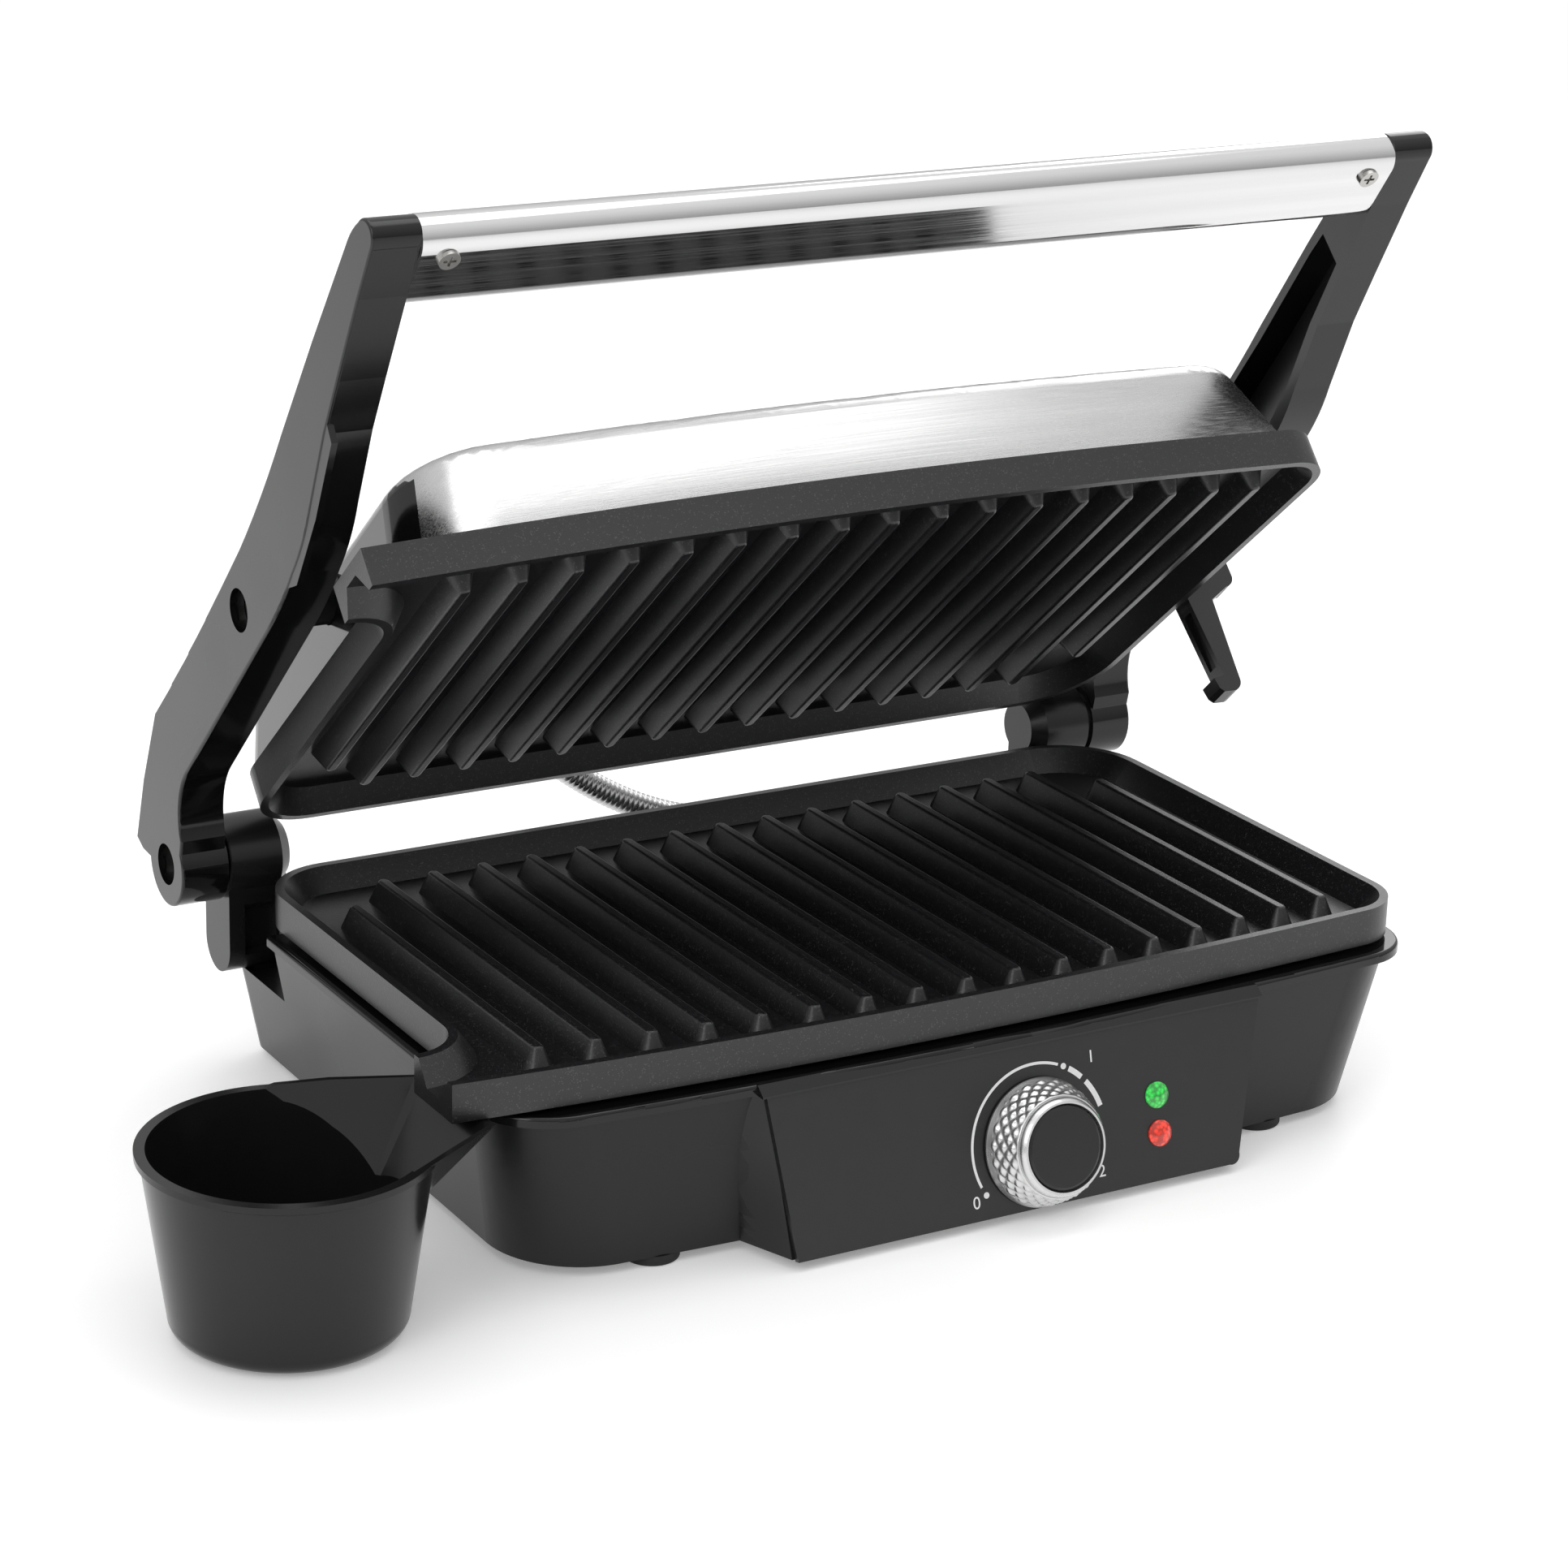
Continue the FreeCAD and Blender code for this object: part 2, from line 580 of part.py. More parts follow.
nose_high = new_sketch(housing, "PanelCavityTop", offset=45.5)
panel_quad(nose_high, 45.5, 2.0 + WALL, (-84.0, -70.5), (91.0, 85.0), -12.0)
loft(housing, "Subtractive", "PanelCavity", nose_low, nose_high, ruled=True)
window = new_sketch(housing, "DeckOpening", offset="flange_top")
block(window, -108.0, -5.0, 108.0, 136.0)
feature(housing, "Pocket", "DeckWindow", window, 6.0)
bosses = new_sketch(housing, "PlateBosses", offset=DECK - WALL)
for x, y in PLATE_BOSSES:
    ring(bosses, x, y, 5.0)
feature(housing, "Pad", "PlateSeats", bosses, PLATE_SEAT - DECK + WALL)
posts = new_sketch(housing, "CoverPosts", offset=BOTTOM + 2)
for x, y in COVER_POSTS:
    ring(posts, x, y, 4.5)
feature(housing, "Pad", "ScrewPosts", posts, DECK - WALL - BOTTOM - 2)
bores = new_sketch(housing, "PlateBores", offset=PLATE_SEAT + 1)
for x, y in PLATE_BOSSES:
    ring(bores, x, y, 1.7)
feature(housing, "Pocket", "PlateScrewBores", bores, 12.0)
bores = new_sketch(housing, "CoverBores", offset=BOTTOM)
for x, y in COVER_POSTS:
    ring(bores, x, y, 1.7)
feature(housing, "Pocket", "CoverScrewBores", bores, 16.0, back=True)
wells = panel_sketch(housing, "PanelHoles", -2.0)
ring(wells, dim("dial_x"), -dim("dial_down"), 5.0)
lens_well(wells, dim("lens_radius"))
feature(housing, "Pocket", "PanelBores", wells, 9.0)
keeper = new_sketch(housing, "Keeper", "YZ_Plane", 148.8)
block(keeper, KEEPER["front"], KEEPER["bottom"], KEEPER["rear"], KEEPER["top"])
feature(housing, "Pad", "KeeperPad", keeper, 5.0)
TENON = {"inner": 134.0, "outer": 142.0, "front": 163.0, "rear": 173.0, "bottom": 20.0}
mortise = new_sketch(housing, "Mortises", offset="ledge_height")
for hand in (-1, 1):
    left, right = sorted((hand * TENON["inner"], hand * TENON["outer"]))
    block(mortise, left, TENON["front"], right, TENON["rear"] - 2)
feature(housing, "Pocket", "MortiseCut", mortise, 6.0)
INLET = {"x": -62.0, "z": 17.0, "radius": 6.0}
CONDUIT_IN = {"x": 36.0, "z": 42.0, "radius": 4.6}
rear_holes = new_sketch(housing, "RearHoles", "XZ_Plane", -(dim("base_rear") + 6))
ring(rear_holes, INLET["x"], INLET["z"], INLET["radius"])
feature(housing, "Pocket", "InletBore", rear_holes, 12.0, back=True)
upper_hole = new_sketch(housing, "ConduitHole", "XZ_Plane", -(dim("deck_rear") + 1))
ring(upper_hole, CONDUIT_IN["x"], CONDUIT_IN["z"], CONDUIT_IN["radius"])
feature(housing, "Pocket", "ConduitBore", upper_hole, 8.0, back=True)

cover = new_body("bottom_cover", BASE)
base_sketch = new_sketch(cover, "CoverOutline", offset="base_bottom")
tray_outline(base_sketch, centre=CENTRE, **outline_at(BOTTOM, WALL + 0.1))
feature(cover, "Pad", "CoverPlate", base_sketch, 2.0)
nose_sketch = new_sketch(cover, "CoverNose", offset="base_bottom")
panel_quad(nose_sketch, BOTTOM, 2.4 + WALL, (-75.0, -67.6), (88.5, 74.6), -14.0)
feature(cover, "Pad", "CoverNosePlate", nose_sketch, 2.0)
pads = new_sketch(cover, "PanelRest", offset=0.5)
ring(pads, 66.0, -27.0, 4.0)
feature(cover, "Pad", "PanelRestPad", pads, BOTTOM - 0.5)
bores = new_sketch(cover, "CoverBores", offset=BOTTOM)
for x, y in COVER_POSTS:
    ring(bores, x, y, 2.0)
feature(cover, "Pocket", "ScrewBores", bores, 4.0, back=True)
vents = new_sketch(cover, "Vents", offset=BOTTOM)
for i in range(-5, 6):
    x = CENTRE + 12.0 * i
    block(vents, x - 2, 60.0, x + 2, 100.0)
feature(cover, "Pocket", "VentSlots", vents, 4.0, back=True)

FEET = {"front_left": (-100.0, -9.0), "front_right": (103.0, -9.0),
        "rear_left": (-100.0, 158.0), "rear_right": (103.0, 158.0)}
for corner_name, (x, y) in FEET.items():
    foot = new_body(f"foot_{corner_name}", BASE)
    pad = new_sketch(foot, "FootPad", offset=0)
    ring(pad, x, y, 8.0)
    feature(foot, "Pad", "Foot", pad, "base_bottom")
    round_edges(foot, "FootEdge", 0.8, lambda e: e.BoundBox.ZMax < 1e-3)


def countersunk(x, y, z, up, head, shank, length):
    """A screw that stands on its head at x, y, z and points up or down."""
    way = V(0, 0, up)
    pan = Part.makeCylinder(head, 1.6, V(x, y, z), -way)
    rod = Part.makeCylinder(shank, length, V(x, y, z), way)
    slot = Part.makeBox(head * 1.4, 0.9, 0.9, V(x - head * 0.7, y - 0.45, z - 1.6 * up - (0 if up > 0 else 0.9)))
    cross = Part.makeBox(0.9, head * 1.4, 0.9, V(x - 0.45, y - head * 0.7, z - 1.6 * up - (0 if up > 0 else 0.9)))
    return pan.fuse(rod).cut(slot.fuse(cross)).removeSplitter()


solid("housing_screws", BASE,
      Part.makeCompound([countersunk(x, y, BOTTOM, 1, 3.0, 1.7, 14.0) for x, y in COVER_POSTS]))
solid("plate_screws", BASE,
      Part.makeCompound([countersunk(x, y, DECK - WALL, 1, 3.0, 1.7, 5.2) for x, y in PLATE_BOSSES]))

panel = new_body("control_panel", PANEL)
face = new_sketch(panel, "PanelOutline", "XZ_Plane")
trace(face, (-74.5, -15.5), (89.0, -15.5), (77.9, -58.9), (77.0, -61.5, 74.3, -62.0), (-69.5, -62.0))
feature(panel, "Pad", "PanelPlate", face, "panel_thickness", back=True)
holes = new_sketch(panel, "PanelHoles", "XZ_Plane")
ring(holes, "dial_x", "-dial_down", 5.0)
lens_well(holes, dim("lens_radius"))
feature(panel, "Pocket", "PanelBores", holes, 4.0)

LENS_DOME = 1.3
for name, down in (("ready", "ready_down"), ("power", "power_down")):
    lens = new_body(f"{name}_lens", PANEL.multiply(turned(dim("lamp_x"), 0, -dim(down))))
    section = new_sketch(lens, "LensSection", "YZ_Plane")
    r = dim("lens_radius")
    trace(section, (-0.5, r), (-LENS_DOME, r * 0.68, -LENS_DOME - 0.5, 0.5), (-LENS_DOME - 0.5, 0), (3.2, 0), (3.2, r))
    spin(lens, "Revolution", "Lens", section, "H_Axis")
    bulb = new_body(f"{name}_lamp", PANEL.multiply(turned(dim("lamp_x"), 0, -dim(down))))
    section = new_sketch(bulb, "LampSection", "YZ_Plane")
    trace(section, (3.2, 2.6), (3.2, 0), (14.0, 0), (14.0, 3.4), (9.0, 3.4), (9.0, 2.6))
    spin(bulb, "Revolution", "Lamp", section, "H_Axis")

DIAL = PANEL.multiply(turned(dim("dial_x"), 0, -dim("dial_down")))
SHAFT_RADIUS = 3.0
THERMOSTAT = {"front": 2.0 + WALL, "rear": 20.0, "half": 13.0, "below": 11.0}
thermostat = new_body("thermostat", DIAL)
case = new_sketch(thermostat, "CaseOutline", "XZ_Plane", -THERMOSTAT["rear"])
block(case, -THERMOSTAT["half"], -THERMOSTAT["below"], THERMOSTAT["half"], THERMOSTAT["half"])
feature(thermostat, "Pad", "Case", case, THERMOSTAT["rear"] - THERMOSTAT["front"])
bore = new_sketch(thermostat, "ShaftBore", "XZ_Plane", -THERMOSTAT["front"])
ring(bore, 0, 0, SHAFT_RADIUS + 0.05)
feature(thermostat, "Pocket", "Bore", bore, 11.0)

knob = new_body("knob", DIAL)
section = new_sketch(knob, "KnobSection", "YZ_Plane")
base_r, face_r, height = dim("knob_radius"), dim("knob_face_radius"), dim("knob_height")
trace(section, (-0.6, base_r), (-1.2, base_r), (2.0 - height, face_r + 0.4),
      (0.9 - height, face_r + 0.1, 0.5 - height, face_r - 0.2), (0.0 - height, face_r - 0.6),
      (0.0 - height, face_r - 1.2), (1.1 - height, face_r - 1.5), (1.1 - height, SHAFT_RADIUS),
      (-4.0, SHAFT_RADIUS), (-4.0, base_r - 4), (-0.6, base_r - 2.5))
spin(knob, "Revolution", "KnobBody", section, "H_Axis")
cap = new_body("knob_cap", DIAL)
disc = new_sketch(cap, "CapSection", "YZ_Plane")
trace(disc, (1.1 - height, face_r - 1.5), (0.4 - height, face_r - 1.9), (0.1 - height, face_r - 2.6),
      (0.1 - height, 0), (1.1 - height, 0))
spin(cap, "Revolution", "Cap", disc, "H_Axis")
shaft = new_body("thermostat_shaft", DIAL)
rod = new_sketch(shaft, "ShaftCircle", "XZ_Plane", height - 1.1)
ring(rod, 0, 0, SHAFT_RADIUS)
feature(shaft, "Pad", "Shaft", rod, height - 1.1 + 15.0, back=True)

solid("terminal_block", BASE, cuboid(-90, 120, 5, -50, 135, 19)
      .cut(Part.makeCompound([tube_x(-91, -49, 127.5, 12, 1.6)])))
gland = Part.makeCylinder(INLET["radius"], 18, V(INLET["x"], 170, INLET["z"]), V(0, 1, 0))
gland_flange = Part.makeCylinder(9, 3, V(INLET["x"], 175.3, INLET["z"]), V(0, 1, 0))
gland_bore = Part.makeCylinder(3.6, 30, V(INLET["x"], 165, INLET["z"]), V(0, 1, 0))
solid("cord_inlet", BASE, gland.fuse(gland_flange).cut(gland_bore).removeSplitter())

# ---------------------------------------------------------------- hinge posts and screws
HINGE = BASE.multiply(turned(0, dim("hinge_back"), dim("hinge_height")))
SCREW = {"shank_in": 138.0, "seat": 158.0, "head": 5.8, "head_in": 158.3, "head_out": 163.5}


def pivot_screw(label, frame, hand, shank_in):
    """A shouldered screw along X whose head sits in an arm's well."""
    body = new_body(label, frame)
    rod = new_sketch(body, "ShankCircle", "YZ_Plane", hand * shank_in)
    ring(rod, 0, 0, "pivot_shank")
    feature(body, "Pad", "Shank", rod, SCREW["head_in"] - shank_in, back=hand < 0)
    head = new_sketch(body, "HeadCircle", "YZ_Plane", hand * SCREW["head_in"])
    ring(head, 0, 0, SCREW["head"])
    feature(body, "Pad", "Head", head, SCREW["head_out"] - SCREW["head_in"], back=hand < 0)
    socket = new_sketch(body, "Socket", "YZ_Plane", hand * SCREW["head_out"])
    block(socket, -0.8, -3.6, 0.8, 3.6)
    feature(body, "Pocket", "Slot", socket, 1.8, back=hand < 0)
    return body


for side_name, hand in (("left", -1), ("right", 1)):
    post = new_body(f"hinge_post_{side_name}", HINGE)
    r = dim("drum_radius")
    half_block = 9.0
    meet = -math.sqrt(r * r - half_block * half_block)
    foot_z = dim("ledge_height") - dim("hinge_height")
    profile = new_sketch(post, "PostProfile", "YZ_Plane", hand * dim("post_inner"))
    trace(profile, (half_block, meet), (0, r, -half_block, meet), (-half_block, foot_z + half_block),
          (0, foot_z, half_block, foot_z + half_block))
    feature(post, "Pad", "PostBlock", profile, "post_outer - post_inner", back=hand < 0)
    bevel_edges(post, "InnerBevel", 4.0,
                lambda e, h=hand: abs(e.BoundBox.XMin - h * dim("post_inner")) < 1e-3 and e.BoundBox.XLength < 1e-3)
    tenon = new_sketch(post, "Tenon", offset=foot_z + 4.5)
    left, right = sorted((hand * TENON["inner"], hand * TENON["outer"]))
    block(tenon, left, TENON["front"] - dim("hinge_back"), right, TENON["rear"] - 2 - dim("hinge_back"))
    feature(post, "Pad", "TenonPad", tenon, 10.0, back=True)
    hole = new_sketch(post, "ScrewHole", "YZ_Plane", hand * dim("post_outer"))
    ring(hole, 0, 0, "pivot_shank")
    feature(post, "Pocket", "ScrewBore", hole, 16.0, back=hand < 0)
    recess = new_sketch(post, "FrontRecess", "YZ_Plane", hand * (dim("post_inner") + 5))
    trace(recess, (-half_block - 1, -30.0), (-half_block + 3.0, -28.0), (-half_block + 3.0, -16.0),
          (-half_block - 1, -12.0))
    feature(post, "Pocket", "RecessCut", recess, 10.0, back=hand > 0)
    pivot_screw(f"hinge_screw_{side_name}", HINGE, hand, SCREW["shank_in"])

# ---------------------------------------------------------------- handle frame
ARM_PROFILE = [
    (-8.0, 5.0), (-14.0, 12.0), (-15.7, 17.2), (2.8, 27.0), (26.8, 36.7), (75.0, 37.0, 120.0, 38.6),
    (144.0, 41.4, 168.0, 45.8), (204.0, 52.5), (240.0, 58.4), (246.0, 58.9, 250.4, 58.2),
    (254.2, 56.6, 255.8, 53.2), (255.0, 50.4, 251.8, 48.4), (236.0, 44.0), (210.0, 36.0), (193.0, 30.6),
    (171.0, 21.5), (160.0, 17.2, 147.0, 14.6), (134.0, 12.6, 121.0, 12.0), (36.0, 12.0),
    (24.0, 8.5, 16.0, -0.8), (8.0, -6.0),
]
ARM_CAVITY = [
    (24.0, 15.0), (24.0, 32.0), (30.0, 34.3), (118.0, 35.5), (166.0, 42.6), (203.0, 49.4), (212.0, 50.5),
    (212.0, 40.0), (190.0, 33.0), (168.0, 24.0), (144.0, 17.4), (120.0, 15.0),
]
HANDLE = {"u": 241.6, "w": 51.5, "tilt": 10.0, "long": 27.6, "thick": 12.6, "sheet": 1.0}
ARM_STRIP = [(196.0, 31.8), (194.8, 26.6), (171.0, 17.5), (147.0, 11.3), (140.0, 14.2), (150.0, 22.0), (188.0, 36.0)]
LATCH = {"x": 158.0, "w": 17.0, "rear": 73.0, "front": 81.0, "pin": 1.5}


def arm_outline(sketch, points):
    """A closed outline given as reach ahead of the hinge and height over it."""
    return trace(sketch, *[tuple(-n if i % 2 == 0 else n for i, n in enumerate(step)) for step in points])


def handle_section(sketch, inset):
    """The handle's rounded section, less a margin all round."""
    tilt = math.radians(HANDLE["tilt"])
    half, flat = HANDLE["long"] / 2 - inset, HANDLE["thick"] / 2 - inset

    def at(along, across):
        u = HANDLE["u"] + along * math.cos(tilt) - across * math.sin(tilt)
        w = HANDLE["w"] + along * math.sin(tilt) + across * math.cos(tilt)
        return -u, w

    run = half - flat
    return trace(sketch, at(run, flat), at(half, 0) + at(run, -flat), at(-run, -flat), at(-half, 0) + at(-run, flat))


for side_name, hand in (("left", -1), ("right", 1)):
    arm = new_body(f"arm_{side_name}", ARMS)
    back = hand < 0
    profile = new_sketch(arm, "ArmProfile", "YZ_Plane", f"{'-' if back else ''}(arm_inner)")
    arm_outline(profile, ARM_PROFILE)
    feature(arm, "Pad", "ArmBlock", profile, "arm_outer - arm_inner", back=back)
    boss = new_sketch(arm, "BossCircle", "YZ_Plane", f"{'-' if back else ''}(boss_inner + 0.8)")
    ring(boss, 0, 0, "boss_radius")
    feature(arm, "Pad", "Boss", boss, "arm_outer - boss_inner - 0.8", back=back)
    round_edges(arm, "ArmEdges", 0.8,
                lambda e, h=hand: abs(centre_of(e).x - h * dim("arm_outer")) < 1e-3 and e.BoundBox.XLength < 1e-3)
    if back:
        strip = new_sketch(arm, "Strip", "YZ_Plane", "-(arm_outer - 0.3)")
        arm_outline(strip, ARM_STRIP)
        feature(arm, "Pad", "StripPad", strip, 1.9)
    hollow = new_sketch(arm, "Channel", "YZ_Plane", f"{'-' if back else ''}(arm_inner)")
    arm_outline(hollow, ARM_CAVITY)
    feature(arm, "Pocket", "ChannelCut", hollow, 11.0, back=not back)
    pivot = new_sketch(arm, "PivotBoss", "YZ_Plane", f"{'-' if back else ''}(arm_inner)")
    ring(pivot, "-pivot_forward", "pivot_up", 9.4)
    feature(arm, "Pad", "PivotBossPad", pivot, 11.2, back=back)
    well = new_sketch(arm, "ScrewWells", "YZ_Plane", f"{'-' if back else ''}(arm_outer)")
    ring(well, 0, 0, "screw_well")
    ring(well, "-pivot_forward", "pivot_up", "screw_well")
    feature(arm, "Pocket", "Wells", well, dim("arm_outer") - SCREW["seat"], back=back)
    bores = new_sketch(arm, "ScrewBores", "YZ_Plane", f"{'-' if back else ''}(arm_outer)")
    ring(bores, 0, 0, "pivot_shank + running_gap")
    ring(bores, "-pivot_forward", "pivot_up", "pivot_shank + running_gap")
    feature(arm, "Pocket", "Bores", bores, 20.0, back=back)
    tip = new_sketch(arm, "HandleSocket", "YZ_Plane", f"{'-' if back else ''}(arm_inner)")
    handle_section(tip, 3.2)
    feature(arm, "Pocket", "Socket", tip, 9.0, back=not back)
    if hand > 0:
        lugs = new_sketch(arm, "LatchLugRear", "XZ_Plane", LATCH["rear"] - 5.0)
        block(lugs, 154.0, 13.0, 166.0, 22.0)
        feature(arm, "Pad", "LugRear", lugs, 4.5)
        lugs = new_sketch(arm, "LatchLugFront", "XZ_Plane", LATCH["front"] + 0.5)
        block(lugs, 154.0, 13.0, 166.0, 22.0)
        feature(arm, "Pad", "LugFront", lugs, 4.5)
        gap = new_sketch(arm, "LatchSlot", "XZ_Plane", LATCH["front"] + 0.5)
        block(gap, 153.0, 8.0, 170.0, 24.0)
        feature(arm, "Pocket", "LatchSlotCut", gap, LATCH["front"] - LATCH["rear"] + 1.0)
        pin = new_sketch(arm, "PinBore", "XZ_Plane", LATCH["front"] + 5.0)
        ring(pin, LATCH["x"], LATCH["w"], LATCH["pin"])
        feature(arm, "Pocket", "PinHole", pin, LATCH["front"] - LATCH["rear"] + 12.0)
    washer = new_body(f"hinge_washer_{side_name}", ARMS)
    disc = new_sketch(washer, "WasherRing", "YZ_Plane", f"{'-' if back else ''}(boss_inner + 0.8)")
    ring(disc, 0, 0, 10.0)
    ring(disc, 0, 0, "pivot_shank + running_gap")
    feature(washer, "Pad", "Washer", disc, 1.0, back=not back)

shell = new_body("handle_shell", ARMS)
tube = new_sketch(shell, "TubeSection", "YZ_Plane", "-arm_inner")
handle_section(tube, 0.0)
handle_section(tube, HANDLE["sheet"])
feature(shell, "Pad", "Tube", tube, "2 * arm_inner")
core = new_body("handle_core", ARMS)
filler = new_sketch(core, "CoreSection", "YZ_Plane", "-arm_inner")
handle_section(filler, HANDLE["sheet"])
feature(core, "Pad", "Core", filler, "2 * arm_inner")
stub = new_sketch(core, "StubSection", "YZ_Plane", "-arm_inner - 9")
handle_section(stub, 3.2)
feature(core, "Pad", "Stubs", stub, "2 * arm_inner + 18")
HANDLE_SCREWS = [(-146.0, 247.4), (146.0, 247.4)]


def handle_underside(u):
    """Y and Z of the middle of the handle's flat underside at a reach."""
    tilt = math.radians(HANDLE["tilt"])
    along = (u - HANDLE["u"]) / math.cos(tilt)
    flat = HANDLE["thick"] / 2
    y = -(HANDLE["u"] + along * math.cos(tilt) + flat * math.sin(tilt))
    z = HANDLE["w"] + along * math.sin(tilt) - flat * math.cos(tilt)
    return y, z


def handle_screw(x, u, shank, head):
    """A screw square to the handle's flat underside: its shank and its head."""
    tilt = math.radians(HANDLE["tilt"])
    foot = V(x, *handle_underside(u))
    way = V(0, math.sin(tilt), math.cos(tilt))
    rod = Part.makeCylinder(shank, 8.0, foot, way)
    pan = Part.makeCylinder(head, 1.2, foot, -way)
    cross = cuboid(-1.8, -0.4, -1.3, 1.8, 0.4, -0.5).fuse(cuboid(-0.4, -1.8, -1.3, 0.4, 1.8, -0.5))
    cross.Placement = FreeCAD.Placement(foot, FreeCAD.Rotation(V(0, 0, 1), way))
    return rod, pan.cut(cross)


screws = [handle_screw(x, u, 1.7, 3.0) for x, u in HANDLE_SCREWS]
solid("handle_screws", ARMS, Part.makeCompound([rod.fuse(pan).removeSplitter() for rod, pan in screws]))
for piece in (shell, core):
    bores = new_sketch(piece, "ScrewHoles")
    bores.AttachmentOffset = FreeCAD.Placement(
        V(0, *handle_underside(HANDLE_SCREWS[0][1])), FreeCAD.Rotation(V(1, 0, 0), -HANDLE["tilt"]))
    for x, _ in HANDLE_SCREWS:
        ring(bores, x, 0, 1.7)
    feature(piece, "Pocket", "ScrewBores", bores, 8.0, back=True)

# ---------------------------------------------------------------- latch
latch = new_body("latch", ARMS)
outline = new_sketch(latch, "LatchOutline", "XZ_Plane", LATCH["rear"])
trace(outline,
      (153.8, 14.0), (154.0, 17.0), (158.0, 21.0, 162.0, 17.0), (162.6, 11.2), (168.8, 11.2), (169.0, 14.0),
      (173.6, 14.0), (175.2, 12.4), (175.2, 6.0), (174.2, 3.4, 171.6, 2.2), (164.4, -1.6), (162.2, -29.7),
      (161.1, -32.6, 158.3, -33.8), (154.8, -33.6), (153.5, -32.2), (152.9, -28.5), (157.0, -28.0), (155.4, 2.0))
feature(latch, "Pad", "LatchBar", outline, LATCH["front"] - LATCH["rear"])
eye = new_sketch(latch, "LatchEye", "XZ_Plane", LATCH["front"] + 1)
ring(eye, LATCH["x"], LATCH["w"], LATCH["pin"] + 0.05)
feature(latch, "Pocket", "EyeBore", eye, 12.0)
groove = new_sketch(latch, "LegGroove", "YZ_Plane", 148.0)
block(groove, -79.0, -24.0, -75.0, -4.0)
feature(latch, "Pocket", "LegGrooveCut", groove, 9.4, back=True)
pin = new_body("latch_pin", ARMS)
rod = new_sketch(pin, "PinCircle", "XZ_Plane", LATCH["rear"] - 5.0)
ring(rod, LATCH["x"], LATCH["w"], LATCH["pin"])
feature(pin, "Pad", "Pin", rod, LATCH["front"] - LATCH["rear"] + 10.0)
spring = new_body("latch_spring", ARMS)
leaf = new_sketch(spring, "LeafSection", "XZ_Plane", LATCH["rear"] + 2.0)
trace(leaf, (165.0, 33.0), (164.5, 33.0), (162.4, 17.6), (162.9, 17.5), (165.0, 31.0))
feature(spring, "Pad", "Leaf", leaf, 4.0)

# ---------------------------------------------------------------- lid
COVER_CORNER_FRONT, COVER_CORNER_REAR = 26.0, 22.0
EXIT = {"x": -46.0, "w": 20.0, "radius": 4.6}
PIVOT_HOLE = 7.5
SHOULDER_RADIUS = 7.0
COVER_FRONT = {"bottom": -19.2, "top": -12.5}
COVER_REAR = {"bottom": 155.0, "top": 151.0}


def cover_outline(sketch, z, inset):
    """The cover's outline at a height over the hinge axis, moved inward by an inset."""
    share = (z - dim("cover_bottom")) / (dim("cover_top") - dim("cover_bottom"))
    half = dim("cover_half_width") + share * (dim("cover_top_half_width") - dim("cover_half_width"))
    front = COVER_FRONT["bottom"] + share * (COVER_FRONT["top"] - COVER_FRONT["bottom"])
    rear = COVER_REAR["bottom"] + share * (COVER_REAR["top"] - COVER_REAR["bottom"])
    return tray_outline(sketch, half - inset, front + inset, rear - inset,
                        COVER_CORNER_FRONT - inset, COVER_CORNER_REAR - inset, dim("cover_centre"))


def cover_loft(kind, name, inset):
    """A loft between the cover's foot and its top, inset on every side but the bottom."""
    heights = dim("cover_bottom"), dim("cover_top") - inset
    low, top = (new_sketch(lid_cover, f"{name}{level}", offset=z) for level, z in zip(("Foot", "Top"), heights))
    cover_outline(low, heights[0], inset)
    cover_outline(top, heights[1], inset)
    loft(lid_cover, kind, name, low, top)


def cover_shoulder(name, radius, z):
    round_edges(lid_cover, name, radius,
                lambda e: abs(e.BoundBox.ZMin - z) < 1e-3 and abs(e.BoundBox.ZMax - z) < 1e-3)


shell_top = LID_REACH.multiply(turned(0, -dim("hinge_back"), 0))
lid_cover = new_body("lid_cover", shell_top)
cover_loft("Additive", "CoverSolid", 0.0)
cover_loft("Subtractive", "CoverInside", dim("cover_sheet"))
cover_shoulder("InnerShoulder", SHOULDER_RADIUS - dim("cover_sheet"), dim("cover_top") - dim("cover_sheet"))
cover_shoulder("OuterShoulder", SHOULDER_RADIUS, dim("cover_top"))
holes = new_sketch(lid_cover, "PivotHoles", "YZ_Plane", -156.0)
ring(holes, dim("hinge_back") - dim("pivot_forward"), dim("pivot_up"), PIVOT_HOLE)
feature(lid_cover, "Pocket", "PivotHoleCut", holes, 312.0, back=True)
exit_hole = new_sketch(lid_cover, "ConduitHole", "XZ_Plane", -162.0)
ring(exit_hole, EXIT["x"], EXIT["w"], EXIT["radius"])
feature(lid_cover, "Pocket", "ConduitHoleCut", exit_hole, 12.0, back=True)

frame_body = new_body("lid_frame", shell_top)
seat = dim("crest_height") - dim("hinge_height") + SEAT_DROP
rail = new_sketch(frame_body, "RailOutline", offset=seat + 0.5)
tray_outline(rail, 138.0, -8.0, 146.0, 18.0, 16.0)
tray_outline(rail, 128.0, 2.0, 136.0, 8.0, 6.0)
feature(frame_body, "Pad", "Rail", rail, 22.0)
seats = new_sketch(frame_body, "PlateSeats", offset=seat)
for x, y in PLATE_BOSSES:
    ring(seats, 1.1 * x, y + 4, 4.4)
feature(frame_body, "Pad", "SeatPads", seats, 8.0)
sleeves = new_sketch(frame_body, "PivotSleeves", "YZ_Plane", -153.4)
ring(sleeves, dim("hinge_back") - dim("pivot_forward"), dim("pivot_up"), PIVOT_HOLE - 0.4)
feature(frame_body, "Pad", "Sleeves", sleeves, 306.8)
